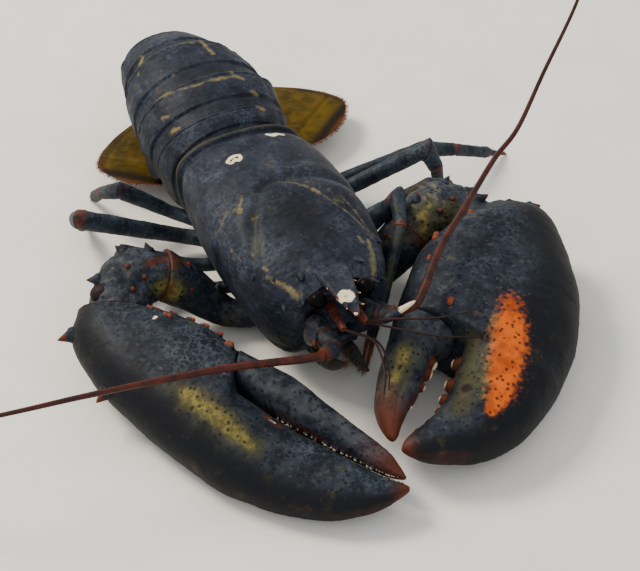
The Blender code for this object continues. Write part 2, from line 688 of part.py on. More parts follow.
def make_abdomen(finish):
    """Six plates, each with a low front part that slides under the plate before it and a raised back part."""
    for number, (first, last) in enumerate(zip(ABDOMEN_JOINTS, ABDOMEN_JOINTS[1:]), start=1):
        length = math.hypot(last[0] - first[0], last[1] - first[1])
        clear = GAP / 2 / length
        rings = []
        for share, swell, lobe in PLATE_PROFILE:
            place = clear + (1.0 - 2.0 * clear) * share
            rings.append(abdomen_ring(between(first, last, place), swell, PLEURON_DROP[number - 1] * lobe))
        plate = piece(f"abdomen_{number}", np.array(rings), finish)
        if number in SWIMMERET_LENGTHS:
            fuse(plate, make_swimmerets(between(first, last, 0.5), SWIMMERET_LENGTHS[number], finish))


def blade_rings(root, heading, length, half_width, thick, lift, outline, plane):
    """A flat plate such as a tail-fan blade, from a joint plane; heading in degrees from -Y toward +X."""
    turn = math.radians(heading)
    along = np.array([math.sin(turn), -math.cos(turn), 0.0])
    across = np.array([math.cos(turn), math.sin(turn), 0.0])
    cos_side, sin_side = oval(12, BLADE_CORNERS)
    rings = []
    for share, wide, flat in outline:
        centre = root + along * length * share + UP * lift * share
        ring = centre + np.outer(cos_side * half_width * wide, across) + np.outer(sin_side * thick * flat / 2, UP)
        if share == 0.0:
            ring = slide_to_plane(ring, AHEAD, *plane)
        rings.append(ring)
    return np.array(rings)


def make_rib(blade, finish):
    """The low rib along the middle of a blade's upper face."""
    inner = blade[1:-1]
    path = inner.mean(axis=1)
    path[:, 2] = inner[:, :, 2].max(axis=1) - RIB_RISE / 3
    return piece("rib", limb_rings(path, RIB_HALF_WIDTH, RIB_RISE, 6), finish)


def make_tail_fan(finish):
    """The telson and the two pairs of blades beside it, stacked so that none touches the next."""
    y, z, slope, *_ = ABDOMEN_JOINTS[-1]
    _, backward = abdomen_axes(slope)
    plane = shifted((np.array([FAN_MIDDLE, y, z]), backward), GAP)
    root = np.array([FAN_MIDDLE, y - 5.0, TELSON_THICK / 2 - GAP])
    telson = blade_rings(root, 0.0, TELSON_LENGTH, TELSON_HALF, TELSON_THICK, -0.6, TELSON_OUTLINE, plane)
    piece("telson", telson, finish)
    for side, word in ((-1, "right"), (1, "left")):
        mirror = np.array([side, 1.0, 1.0])
        inner = blade_rings(root + mirror * INNER_BLADE_ROOT, side * INNER_BLADE_HEADING, INNER_BLADE_LENGTH,
                            INNER_BLADE_HALF, BLADE_THICK, 0.6, INNER_OUTLINE, plane)
        piece(f"uropod_inner_{word}", inner, finish)
        outer = blade_rings(root + mirror * OUTER_BLADE_ROOT, side * OUTER_BLADE_HEADING, OUTER_BLADE_LENGTH,
                            OUTER_BLADE_HALF, BLADE_THICK, 2.0, OUTER_OUTLINE, plane)
        fuse(piece(f"uropod_outer_{word}", outer, finish), [make_rib(outer, finish)])


def make_eye(side, word, finish):
    """The eye: a short stalk from the socket and the round cornea."""
    mirror = np.array([side, 1.0, 1.0])
    root = EYE_ROOT * mirror
    ball = EYE_BALL * mirror
    way = unit(ball - root)
    path = [root, *(ball + way * step for step in EYE_STEPS)]
    piece(f"eye_{word}", limb_rings(path, EYE_SIZES, EYE_SIZES, 14, (root, AHEAD)), finish)


def make_thumb(wrist, way, radius, finish):
    """The short fixed finger beside the tip of a pincer-bearing walking leg."""
    apart = unit(np.cross(way, UP)) * radius
    path = wrist + np.outer(THUMB_PLACES, way) + np.outer(THUMB_OFFSETS, apart)
    size = radius * THUMB_SIZES
    return piece("thumb", limb_rings(path, size, size, 8), finish)


def make_leg(word, side, number, ahead, points, radius, finish):
    """One walking leg in three pieces from its hip through knee and wrist to the tip on the floor."""
    base, outward = hip(side, ahead)
    start = base + outward * GAP
    elbow, knee, wrist, foot = (np.array(point, float) for point in points)
    knee_plane = joint_plane(elbow, knee, wrist)
    wrist_plane = joint_plane(knee, wrist, foot)
    name = f"leg_{number}_{word}"
    thigh_path = smooth_path([start, elbow, elbow * 0.45 + knee * 0.55, knee], len(THIGH_SIZES))
    thigh = radius * THIGH_SIZES
    thigh_ends = ((start, outward), shifted(knee_plane, -GAP / 2))
    piece(f"{name}_merus", limb_rings(thigh_path, thigh * LEG_NARROWING, thigh, 10, *thigh_ends), finish)
    shin_path = np.linspace(knee, wrist, len(SHIN_SIZES))
    shin = radius * SHIN_SIZES
    shin_ends = (shifted(knee_plane, GAP / 2), shifted(wrist_plane, -GAP / 2))
    piece(f"{name}_carpus", limb_rings(shin_path, shin * LEG_NARROWING, shin, 10, *shin_ends), finish)
    way = foot - wrist
    slim = radius * FOOT_SIZES
    foot_path = wrist + np.outer(FOOT_PLACES, way)
    foot_rings = limb_rings(foot_path, slim * LEG_NARROWING, slim, 10, shifted(wrist_plane, GAP / 2))
    shank = piece(f"{name}_propodus", foot_rings, finish)
    if number in PINCER_PAIRS:
        fuse(shank, [make_thumb(wrist, way, radius, finish)])


def claw_frame(root, tip, roll, side):
    """Origin and the along, inward and over directions of a claw; roll lifts the inner edge."""
    along = unit(tip - root)
    inward = unit(np.cross(along, UP)) * side
    over = np.cross(along, inward) * side
    if over[2] < 0:
        over = -over
    turn = math.radians(roll)
    tilted = inward * math.cos(turn) + over * math.sin(turn)
    over = over * math.cos(turn) - inward * math.sin(turn)
    return root, along, tilted, over


def claw_point(frame, flat, rise=0.0):
    """The place of a point of the claw's own plane, (along, inward), at a height over it."""
    origin, along, inward, over = frame
    return origin + flat[0] * along + flat[1] * inward + rise * over


def claw_way(frame, flat, rise=0.0):
    """A direction given in the claw's own plane, with a rise over it."""
    _, along, inward, over = frame
    return flat[0] * along + flat[1] * inward + rise * over


def section_rings(frame, outer, inner, heights, count, sides=18):
    """Rings of a claw piece: each spans from a point of the outer edge to one of the inner edge.

    outer and inner are curves in the claw's own plane, as (along, inward); heights are half thicknesses.
    """
    origin, along, inward, over = frame
    outer_edge = smooth_path(outer, count)
    inner_edge = smooth_path(inner, count)
    share = np.linspace(0.0, 1.0, count)
    thick = np.interp(share, np.linspace(0.0, 1.0, len(heights)), heights)
    cos_side, sin_side = oval(sides, CLAW_CORNERS)
    rings = []
    for near, far, half in zip(outer_edge, inner_edge, thick):
        flat = (near + far) / 2 + np.outer(cos_side, (far - near) / 2)
        rings.append(origin + flat[:, :1] * along + flat[:, 1:] * inward + np.outer(sin_side * half, over))
    return np.array(rings)


def ring_plane(ring):
    """The plane of a ring, its normal pointing forward along the animal."""
    quarter = len(ring) // 4
    normal = unit(np.cross(ring[0] - ring[2 * quarter], ring[quarter] - ring[3 * quarter]))
    if normal[1] > 0:
        normal = -normal
    return ring.mean(axis=0), normal


def palm_spines(frame, shape, table, finish):
    """The blunt spines along a palm's two edges and the knob at the finger's hinge."""
    edges = {edge: smooth_path(shape[edge], 101) for edge in ("palm_outer", "palm_inner")}
    heights = shape["palm_heights"]
    made = []
    for edge, shares, degrees, length, half_width in table:
        turn = math.radians(degrees)
        cos_side = math.cos(turn) ** (2.0 / CLAW_CORNERS)
        sin_side = math.sin(turn) ** (2.0 / CLAW_CORNERS)
        other = "palm_outer" if edge == "palm_inner" else "palm_inner"
        for share in shares:
            near = edges[edge][round(share * 100)]
            far = edges[other][round(share * 100)]
            rise = float(np.interp(share, np.linspace(0.0, 1.0, len(heights)), heights))
            root = claw_point(frame, (near + far) / 2 + (near - far) / 2 * cos_side, rise * sin_side)
            out = unit(near - far) * math.cos(turn) + np.array([0.25, 0.0])
            way = claw_way(frame, out, math.sin(turn))
            made.append(spine(root, way, length, half_width, finish, blunt=True))
    return made


def finger_teeth(frame, edge, toward, plan, finish):
    """The row of blunt teeth along the biting edge of one finger; toward is 1 if they point inward."""
    start, end, count, length, half_width, blunt = plan
    curve = smooth_path(edge, 101)
    made = []
    for share in np.linspace(start, end, count):
        place = round(share * 100)
        run = curve[place + 2] - curve[place - 2]
        out = unit(np.array([-run[1], run[0]])) * toward
        size = 1.0 - 0.5 * (share - start) / (end - start)
        root = claw_point(frame, curve[place])
        made.append(spine(root, claw_way(frame, out), length * size, half_width * size, finish, blunt))
    return made


def make_claw(word, frame, shape, spines, teeth, both_toothed, finish):
    """The palm with its fixed finger, and the hinged finger; gives the plane of the joint at the wrist."""
    palm_rings = section_rings(frame, shape["palm_outer"], shape["palm_inner"], shape["palm_heights"], 9)
    tip_rings = section_rings(frame, shape["fixed_outer"], shape["fixed_inner"], shape["fixed_heights"], 11)
    palm = piece(f"claw_{word}_palm", np.concatenate([palm_rings, tip_rings]), finish)
    extras = palm_spines(frame, shape, spines, finish)
    extras += finger_teeth(frame, shape["fixed_inner"], 1, teeth, finish)
    fuse(palm, extras)
    rings = section_rings(frame, shape["hinged_outer"], shape["hinged_inner"], shape["hinged_heights"], 11)
    finger = piece(f"claw_{word}_finger", rings, finish)
    if both_toothed:
        fuse(finger, finger_teeth(frame, shape["hinged_inner"], -1, teeth, finish))
    return ring_plane(palm_rings[0])


def make_claw_arm(side, word, arm, middle, palm_plane, wrist_table, finish):
    """The arm and the wrist that carry a claw."""
    base, outward = hip(side, CLAW_HIP)
    start = base + outward * GAP
    *_, elbow, waist = np.array(arm, float)
    waist_plane = joint_plane(elbow, waist, np.array(middle))
    arm_ends = ((start, outward), shifted(waist_plane, -GAP / 2))
    arm_path = smooth_path([start, *arm], len(ARM_SIZES))
    arm_rings = limb_rings(arm_path, ARM_SIZES, ARM_SIZES * ARM_FLATTENING, 14, *arm_ends)
    fuse(piece(f"claw_{word}_arm", arm_rings, finish), limb_spines(arm_rings, ARM_SPINES, side, finish))
    wrist_ends = (shifted(waist_plane, GAP / 2), shifted(palm_plane, -GAP))
    wrist_path = smooth_path([waist, middle, palm_plane[0]], len(WRIST_HALF_WIDTHS))
    wrist_rings = limb_rings(wrist_path, WRIST_HALF_WIDTHS, WRIST_HALF_HEIGHTS, 16, *wrist_ends)
    fuse(piece(f"claw_{word}_wrist", wrist_rings, finish), limb_spines(wrist_rings, wrist_table, side, finish))


def make_antenna(side, word, base_points, route, shell, red):
    """An antenna: its jointed base with the pointed scale beside it, and the whip in two lengths."""
    base_path = smooth_path(base_points, len(ANTENNA_BASE_SIZES))
    whip = smooth_path([base_points[-1], *route], ANTENNA_STEPS)
    start_plane = (whip[0], unit(whip[1] - whip[0]))
    base_ends = ((base_path[0], AHEAD), shifted(start_plane, -GAP))
    base_rings = limb_rings(base_path, ANTENNA_BASE_SIZES, ANTENNA_BASE_SIZES, 12, *base_ends)
    scale_root = base_path[2] + np.array([side * 3.0, 0.0, 1.0])
    scale = spine(scale_root, AHEAD + np.array([side * 0.5, 0.0, 0.25]), *SCALE_SPINE, shell)
    fuse(piece(f"antenna_base_{word}", base_rings, shell), [scale])
    taper = np.linspace(1.0, 0.0, ANTENNA_STEPS) ** 0.9
    half = (taper * (ANTENNA_THICK - ANTENNA_TIP_THICK) + ANTENNA_TIP_THICK) / 2
    middle = ANTENNA_STEPS // 2
    middle_plane = (whip[middle], unit(whip[middle + 1] - whip[middle - 1]))
    near_ends = (start_plane, shifted(middle_plane, -GAP / 2))
    near = limb_rings(whip[: middle + 1], half[: middle + 1], half[: middle + 1], 8, *near_ends)
    far = limb_rings(whip[middle:], half[middle:], half[middle:], 8, shifted(middle_plane, GAP / 2))
    piece(f"antenna_{word}_near", near, red)
    piece(f"antenna_{word}_far", far, red)


def make_antennule(side, word, whips, finish):
    """An antennule: a short jointed stem with two thin whips."""
    root = np.array([side * 4.2, -CARAPACE_LENGTH - GAP, 45.5])
    stem_path = np.linspace(root, ANTENNULE_END * [side, 1.0, 1.0], len(ANTENNULE_SIZES))
    stem_rings = limb_rings(stem_path, ANTENNULE_SIZES, ANTENNULE_SIZES, 8, (root, AHEAD))
    extras = []
    for route in whips:
        path = smooth_path([stem_path[-2], stem_path[-1], *route], len(ANTENNULE_WHIP_SIZES))
        extras.append(piece("whip", limb_rings(path, ANTENNULE_WHIP_SIZES, ANTENNULE_WHIP_SIZES, 6), finish))
    fuse(piece(f"antennule_{word}", stem_rings, finish), extras)


def make_mouth_leg(side, word, route, finish):
    """The outermost pair of mouth legs, folded forward under the head."""
    height = belly_height(STERNUM_LENGTH) - STERNUM_DEPTH / 2
    root = np.array([side * 5.5, -STERNUM_LENGTH - GAP, height])
    path = smooth_path([root, *route], len(MOUTH_LEG_SIZES))
    rings = limb_rings(path, MOUTH_LEG_SIZES * 0.8, MOUTH_LEG_SIZES, 10, (root, AHEAD))
    piece(f"maxilliped_{word}", rings, finish)


def recentre():
    """Hangs every piece on one empty and sets the middle of the whole animal's outline over the origin."""
    pieces = list(bpy.data.objects)
    corners = np.array([vertex.co for made in pieces for vertex in made.data.vertices])
    middle = (corners.min(axis=0) + corners.max(axis=0)) / 2
    animal = bpy.data.objects.new("lobster", None)
    bpy.context.scene.collection.objects.link(animal)
    for made in pieces:
        made.parent = animal
    animal.location = (-middle[0], -middle[1], 0.0)


def build():
    """The whole animal."""
    shell = material("mottled dark blue shell", SHELL_COLOUR, 0.38)
    fan = material("olive brown tail fan shell", FAN_COLOUR, 0.40)
    red = material("red brown antenna shell", ANTENNA_COLOUR, 0.45)
    cornea = material("black cornea", CORNEA_COLOUR, 0.12)
    make_carapace(shell)
    make_sternum(shell)
    make_abdomen(shell)
    make_tail_fan(fan)
    make_eye(-1, "right", cornea)
    make_eye(1, "left", cornea)
    make_mouth_leg(-1, "right", RIGHT_MOUTH_LEG, shell)
    make_mouth_leg(1, "left", LEFT_MOUTH_LEG, shell)
    for leg in LEGS:
        make_leg(*leg, shell)
    cutter = claw_frame(CUTTER_ROOT, CUTTER_TIP, CUTTER_ROLL, -1)
    wrist_plane = make_claw("right", cutter, CUTTER_SHAPE, CUTTER_PALM_SPINES, CUTTER_TEETH, False, shell)
    make_claw_arm(-1, "right", CUTTER_ARM, CUTTER_WRIST, wrist_plane, RIGHT_WRIST_SPINES, shell)
    crusher = claw_frame(CRUSHER_ROOT, CRUSHER_TIP, CRUSHER_ROLL, 1)
    wrist_plane = make_claw("left", crusher, CRUSHER_SHAPE, CRUSHER_PALM_SPINES, CRUSHER_TEETH, True, shell)
    make_claw_arm(1, "left", CRUSHER_ARM, CRUSHER_WRIST, wrist_plane, LEFT_WRIST_SPINES, shell)
    make_antenna(-1, "right", RIGHT_ANTENNA_BASE, RIGHT_ANTENNA_ROUTE, shell, red)
    make_antenna(1, "left", LEFT_ANTENNA_BASE, LEFT_ANTENNA_ROUTE, shell, red)
    make_antennule(-1, "right", RIGHT_ANTENNULE_WHIPS, red)
    make_antennule(1, "left", LEFT_ANTENNULE_WHIPS, red)
    recentre()


for leftover in list(bpy.data.objects):
    bpy.data.objects.remove(leftover)
build()
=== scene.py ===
"""American lobster, life size: the looks of the still model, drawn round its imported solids.

Points are in millimetres, placed as in the part's source: head toward -Y, the animal's left toward +X, +Z up,
the floor at z = 0 and y = 0 at the back edge of the carapace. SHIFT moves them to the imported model's frame.
A skin is a grid of rings: one direction runs along the piece, the other once round it, and both ends are
closed.
MARKS are strengths from 0 to 1 kept on every point, from which the shell's material takes its coloured
patches.
"""

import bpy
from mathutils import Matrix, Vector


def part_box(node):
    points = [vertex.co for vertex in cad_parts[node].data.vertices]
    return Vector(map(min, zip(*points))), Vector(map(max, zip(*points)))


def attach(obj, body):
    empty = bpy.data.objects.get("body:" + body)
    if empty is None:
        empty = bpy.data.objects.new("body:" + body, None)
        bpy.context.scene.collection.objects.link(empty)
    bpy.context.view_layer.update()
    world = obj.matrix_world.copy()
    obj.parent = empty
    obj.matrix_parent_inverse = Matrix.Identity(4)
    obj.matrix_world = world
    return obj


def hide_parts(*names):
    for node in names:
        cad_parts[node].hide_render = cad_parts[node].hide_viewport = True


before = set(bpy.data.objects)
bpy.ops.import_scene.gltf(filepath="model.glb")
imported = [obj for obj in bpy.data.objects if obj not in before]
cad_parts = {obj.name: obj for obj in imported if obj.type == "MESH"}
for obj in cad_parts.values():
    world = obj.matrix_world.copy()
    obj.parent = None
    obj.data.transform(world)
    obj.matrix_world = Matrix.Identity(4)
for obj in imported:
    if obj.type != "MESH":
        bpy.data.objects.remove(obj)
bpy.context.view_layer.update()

import itertools
import math

import bpy
import numpy as np
from mathutils import Vector

MM = 0.001
GAP = 0.3
UP = np.array([0.0, 0.0, 1.0])
AHEAD = np.array([0.0, -1.0, 0.0])
SIDEWAYS = np.array([1.0, 0.0, 0.0])
KEEL_LOW, KEEL_HIGH = (np.array(corner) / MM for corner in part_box("sternum"))
SHIFT = np.array([(KEEL_LOW[0] + KEEL_HIGH[0]) / 2, KEEL_HIGH[1] + GAP, 0.0])
MARKS = ("slate", "tan", "olive", "orange", "ember", "rust", "dark", "yellow", "cream", "maroon")

# Carapace: from the back edge to the eye sockets
CARAPACE_LENGTH = 107.0
CARAPACE_STATIONS = (
    # distance ahead of the back edge, half width, height of the back, height of the lower edge
    (0.0, 27.8, 54.9, 15.0),
    (2.4, 28.8, 55.9, 14.8),
    (3.2, 28.3, 55.4, 14.8),
    (8.0, 29.9, 57.2, 14.6),
    (18.0, 31.8, 59.4, 14.5),
    (32.0, 33.0, 61.5, 15.0),
    (43.0, 33.2, 62.5, 15.5),
    (46.5, 32.6, 62.0, 15.5),
    (50.0, 32.8, 63.2, 16.0),
    (64.0, 31.8, 63.2, 16.5),
    (78.0, 29.2, 62.0, 17.5),
    (90.0, 25.6, 60.2, 20.0),
    (99.0, 21.4, 58.4, 24.0),
    (CARAPACE_LENGTH, 16.0, 56.0, 31.0),
)
SIDE_WRAP = math.radians(138)
SIDE_LEVEL = 0.62
SHOULDER = 0.85
GROOVE_SWEEP = 22.0

# Rostrum: the beak between the eyes, its half widths, and the places of its side spines along it
ROSTRUM_ROOT = np.array([0.0, -94.0, 56.0])
ROSTRUM_TIP = np.array([-1.6, -130.0, 57.5])
ROSTRUM_HALF_WIDTHS = np.array([9.0, 8.0, 6.9, 5.8, 4.6, 3.1, 0.8])
ROSTRUM_SPINES = (0.45, 0.66, 0.85)
ROSTRUM_SPINE_LENGTH = 3.06
FRONT_SPINES = (
    # carapace station, degrees down from the back line, length, half width
    (12, 33.0, 6.0, 1.9),
    (13, 66.0, 6.5, 2.0),
    (12, 88.0, 4.5, 1.8),
    (11, 58.0, 3.6, 1.6),
    (10, 76.0, 3.0, 1.5),
)

# The plate above the mouth, below the antennae
MOUTH_PLATE = ((0.0, -96.0, 28.0), (0.0, -104.0, 28.0), (0.0, -109.0, 28.2), (0.0, -113.0, 28.6))
MOUTH_PLATE_HALF_WIDTHS = (13.0, 13.0, 11.0, 6.0)
MOUTH_PLATE_HALF_HEIGHTS = (4.4, 4.0, 3.4, 2.0)

# Sternum, the keel between the leg bases
STERNUM_LENGTH = 97.0
STERNUM_TOP_HALF = 17.0
STERNUM_FOOT_HALF = 9.0
STERNUM_DEPTH = 9.0

# Abdomen: the joints between its rings, along the curled tail
ABDOMEN_JOINTS = (
    # y, z, slope of the joint down in degrees, half width, thickness, sideways drift
    (0.5, 54.0, 0.0, 27.0, 37.0, 0.0),
    (12.0, 58.0, -14.0, 31.0, 38.5, 0.0),
    (34.0, 62.0, -4.0, 33.0, 38.5, 0.0),
    (60.5, 62.5, 14.0, 28.5, 36.0, -2.5),
    (82.5, 54.0, 46.0, 22.5, 31.0, -5.0),
    (94.0, 32.0, 84.0, 22.5, 28.0, 1.5),
    (90.0, 2.0, 128.0, 22.0, 16.0, 12.0),
)
PLEURON_DROP = (4.0, 9.0, 8.0, 5.0, 4.0, 3.0)
PLATE_STEP = 0.9
PLATE_PROFILE = (
    # share of the plate's length, how far it stands out, share of the side lobe
    (0.0, -PLATE_STEP, 0.0),
    (0.30, -PLATE_STEP, 0.35),
    (0.36, 0.0, 0.6),
    (0.62, 0.35, 1.0),
    (0.90, 0.3, 0.8),
    (1.0, -0.3, 0.2),
)
BELLY_SINK = 0.94
SWIMMERET_LENGTHS = {2: 8.0, 3: 8.0, 4: 6.0}
SWIMMERET_PLACE = 0.42
SWIMMERET_SUNK = 3.5

# Tail fan, laid on the floor with its upper face down, its blades stacked
FAN_MIDDLE = 14.0
BLADE_CORNERS = 3.0
TELSON_OUTLINE = (
    # share of the length, share of the half width, share of the thickness
    (0.0, 0.70, 1.0),
    (0.2, 0.92, 0.93),
    (0.45, 1.0, 0.85),
    (0.7, 0.97, 0.76),
    (0.9, 0.86, 0.68),
    (1.0, 0.60, 0.62),
)
INNER_OUTLINE = (
    (0.0, 0.31, 1.0),
    (0.2, 0.66, 0.93),
    (0.4, 0.88, 0.86),
    (0.6, 1.0, 0.80),
    (0.8, 0.95, 0.70),
    (0.93, 0.78, 0.62),
    (1.0, 0.48, 0.55),
)
OUTER_OUTLINE = (
    # the step in thickness is the cross joint of the outer blade
    (0.0, 0.28, 1.0),
    (0.15, 0.62, 0.95),
    (0.35, 0.85, 0.92),
    (0.55, 0.97, 0.90),
    (0.70, 1.0, 0.90),
    (0.73, 0.99, 0.62),
    (0.90, 0.84, 0.52),
    (1.0, 0.45, 0.45),
)

FAN_BLADES = {
    # root beside the fan's middle, heading in degrees, length, half width, thickness, rise of the tip,
    # outline
    "telson": ((0.0, 0.0, 0.0), 0.0, 46.0, 13.0, 4.0, -0.6, TELSON_OUTLINE),
    "uropod_inner": ((9.5, 0.0, 4.3), 16.0, 46.0, 13.0, 2.6, 0.6, INNER_OUTLINE),
    "uropod_outer": ((16.5, -8.0, 7.9), 40.0, 54.0, 20.8, 2.6, 2.0, OUTER_OUTLINE),
}
FAN_ORDER = (
    # blade, side, end of its name
    ("telson", 1, ""),
    ("uropod_inner", -1, "_right"),
    ("uropod_outer", -1, "_right"),
    ("uropod_inner", 1, "_left"),
    ("uropod_outer", 1, "_left"),
)

# Walking legs: side, pair, hip ahead of the back edge, then outer hip, knee, wrist and tip, and thickness
LEGS = (
    ("left", 1, 1, 46.0, ((29, -47, 11), (52, -54, 41), (46, -70, 39), (13, -107, 0.15)), 3.6),
    ("left", 1, 2, 31.0, ((31, -32, 10), (76, -36, 26), (87, -33, 20), (93, -30, 0.15)), 3.7),
    ("left", 1, 3, 17.0, ((31, -10, 10), (82, -21, 34), (87, -22, 22), (91, -20, 0.15)), 3.9),
    ("left", 1, 4, 5.0, ((31, 0, 9), (87, -8, 23), (103, -9, 18), (134, -2, 0.15)), 3.5),
    ("right", -1, 1, 46.0, ((-29, -42, 9), (-52, -30, 14), (-60, -43, 11), (-58, -72, 0.15)), 3.4),
    ("right", -1, 2, 31.0, ((-31, -26, 10), (-60, -17, 20), (-71, -26, 14), (-77, -34, 0.15)), 3.5),
    ("right", -1, 3, 17.0, ((-29, -6, 10), (-73, 0, 30), (-72, 11, 21), (-62, 28, 0.15)), 4.2),
    ("right", -1, 4, 5.0, ((-26, 10, 9.5), (-50, 14, 28), (-55, 25, 20), (-54, 46, 0.15)), 3.5),
)
LEG_NARROWING = 0.85
THIGH_SIZES = np.array([0.95, 0.92, 0.88, 0.85, 0.95, 1.0, 1.05, 0.95])
SHIN_SIZES = np.array([0.95, 1.0, 0.92, 0.74])
FOOT_PLACES = (0.0, 0.18, 0.4, 0.62, 0.66, 0.85, 1.0)
FOOT_SIZES = np.array([0.74, 0.78, 0.74, 0.62, 0.5, 0.3, 0.14])
PINCER_PAIRS = (1, 2)
THUMB_PLACES = (0.5, 0.66, 0.82, 0.94)
THUMB_OFFSETS = (0.1, 0.5, 0.65, 0.5)
THUMB_SIZES = np.array([0.38, 0.40, 0.26, 0.12])

# Bristles: half widths in mm, and the side of a bristle's patch on the unwrap
FRINGE_HALF_WIDTH = 0.075
BRISTLE_HALF_WIDTH = 0.09
HAIR_PATCH = 0.003

# Claw-bearing legs: the arm from the hip to the waist, then the middle of the wrist
CLAW_HIP = 62.0
CUTTER_ARM = ((-21.0, -62.0, 8.0), (-31.0, -57.5, 10.0), (-43.0, -50.0, 20.5), (-53.0, -46.5, 29.0))
CUTTER_WRIST = (-67.0, -45.0, 30.0)
CRUSHER_ARM = ((21.0, -66.0, 8.0), (31.0, -66.0, 9.0), (43.5, -63.5, 17.5), (54.7, -61.0, 26.0))
CRUSHER_WRIST = (70.5, -56.5, 30.0)
ARM_SIZES = np.array([5.0, 5.2, 5.4, 5.6, 6.4, 7.6, 8.8, 9.8, 9.6])
ARM_FLATTENING = 0.9
WRIST_HALF_WIDTHS = np.array([9.5, 11.0, 12.2, 12.8, 13.0, 13.0, 12.8, 12.0])
WRIST_HALF_HEIGHTS = np.array([8.8, 10.2, 11.0, 11.2, 11.2, 11.0, 10.6, 10.0])

# Claws: the joint at the wrist, the tip, and how far the inner edge is rolled up
CUTTER_ROOT = np.array([-82.0, -46.0, 25.0])
CUTTER_TIP = np.array([-18.0, -190.0, 10.0])
CUTTER_ROLL = 13.0
CRUSHER_ROOT = np.array([84.0, -58.0, 27.0])
CRUSHER_TIP = np.array([40.0, -184.0, 13.0])
CRUSHER_ROLL = 8.0
CLAW_CORNERS = 2.3
EASING_ROUNDS = 160

# Claw outlines from above, as (along, inward) points on each edge, with half thicknesses from wrist to tip
CUTTER_SHAPE = {
    "palm_outer": ((-1.5, -11.0), (8.0, -23.0), (30.0, -30.5), (62.0, -33.5), (100.0, -33.0)),
    "palm_inner": ((24.0, 9.5), (32.0, 13.5), (42.0, 16.5), (54.0, 18.5), (66.5, 17.5)),
    "palm_heights": (10.5, 13.5, 15.5, 16.0, 15.0),
    "fixed_outer": ((100.6, -32.8), (122.0, -27.0), (142.5, -16.5), (155.0, -2.0), (160.0, 14.0)),
    "fixed_inner": ((77.2, 2.8), (101.0, 3.4), (124.0, 6.9), (145.0, 10.6), (159.0, 15.2)),
    "fixed_heights": (14.7, 11.8, 8.7, 5.6, 0.9),
    "hinged_outer": ((67.1, 17.9), (94.0, 22.0), (120.0, 21.8), (142.0, 21.0), (155.2, 17.6)),
    "hinged_inner": ((76.0, 4.8), (101.0, 6.0), (124.0, 9.6), (144.5, 13.1), (154.8, 16.5)),
    "hinged_heights": (11.5, 11.0, 8.5, 5.5, 0.9),
    "blunt": 0.5,
}
CRUSHER_SHAPE = {
    "palm_outer": ((0.0, -17.0), (9.0, -35.0), (48.0, -41.0), (80.0, -36.0), (104.0, -25.0)),
    "palm_inner": ((19.0, 11.0), (30.0, 24.5), (47.0, 32.5), (58.0, 37.0), (66.5, 39.5)),
    "palm_heights": (12.5, 18.5, 21.0, 21.0, 19.0),
    "fixed_outer": ((104.6, -24.6), (125.5, -8.0), (137.0, 12.0), (137.5, 30.0), (133.6, 43.4)),
    "fixed_inner": ((82.2, 12.8), (92.0, 16.0), (104.0, 20.5), (115.0, 27.0), (124.0, 34.5), (132.0, 43.0)),
    "fixed_heights": (18.2, 14.5, 11.0, 7.5, 0.9),
    "hinged_outer": ((67.2, 40.0), (84.0, 45.0), (98.0, 49.2), (112.0, 51.0), (128.8, 47.6)),
    "hinged_inner": ((80.8, 16.0), (88.5, 26.4), (97.0, 30.5), (106.0, 34.2), (114.0, 39.2), (121.5, 43.2),
                     (129.4, 46.4)),
    "hinged_heights": (14.0, 13.5, 11.0, 8.0, 0.9),
    "blunt": 1.4,
}

# Spines of the palms: edge, shares along it, degrees up from the edge, length, half width
CUTTER_PALM_SPINES = (
    ("palm_inner", (0.08, 0.28, 0.48, 0.62, 0.76), 20.0, 3.4, 2.1),
    ("palm_inner", (0.18, 0.40), 50.0, 2.4, 2.0),
    ("palm_inner", (0.90,), 30.0, 4.4, 2.8),
    ("palm_outer", (0.20, 0.56), 8.0, 6.0, 2.7),
)
CRUSHER_PALM_SPINES = (
    ("palm_inner", (0.27, 0.44), 38.0, 3.0, 2.4),
    ("palm_inner", (0.10,), 72.0, 2.6, 2.1),
    ("palm_inner", (0.88,), 66.0, 2.8, 2.7),
    ("palm_outer", (0.04, 0.15), 20.0, 3.8, 2.5),
)

# Teeth of the fingers: first and last share of the edge, count, length, half width;
# and how far they sit above the claw's middle plane
CUTTER_TEETH = (0.22, 0.94, 30, 1.5, 1.35)
CRUSHER_TEETH = (0.20, 0.86, 6, 3.4, 3.3)
TOOTH_RISE = 0.8

# Spines of the wrists and arms: share along, degrees from the front side over the top, length, half width
RIGHT_WRIST_SPINES = (
    (0.25, 120.0, 4.5, 2.1),
    (0.45, 135.0, 5.0, 2.2),
    (0.70, 146.0, 6.0, 2.4),
    (0.55, 84.0, 3.4, 2.1),
    (0.80, 60.0, 3.6, 2.2),
    (0.40, 40.0, 3.4, 2.1),
)
LEFT_WRIST_SPINES = (
    (0.30, 100.0, 4.0, 2.1),
    (0.55, 128.0, 5.0, 2.3),
    (0.72, 148.0, 5.5, 2.4),
    (0.86, 124.0, 5.0, 2.4),
    (0.66, 74.0, 3.6, 2.2),
    (0.44, 45.0, 3.6, 2.2),
)
ARM_SPINES = (
    (0.86, 95.0, 4.5, 2.0),
    (0.80, 40.0, 3.6, 1.8),
    (0.62, 105.0, 3.0, 1.6),
)
SPINE_LEAN = 0.45

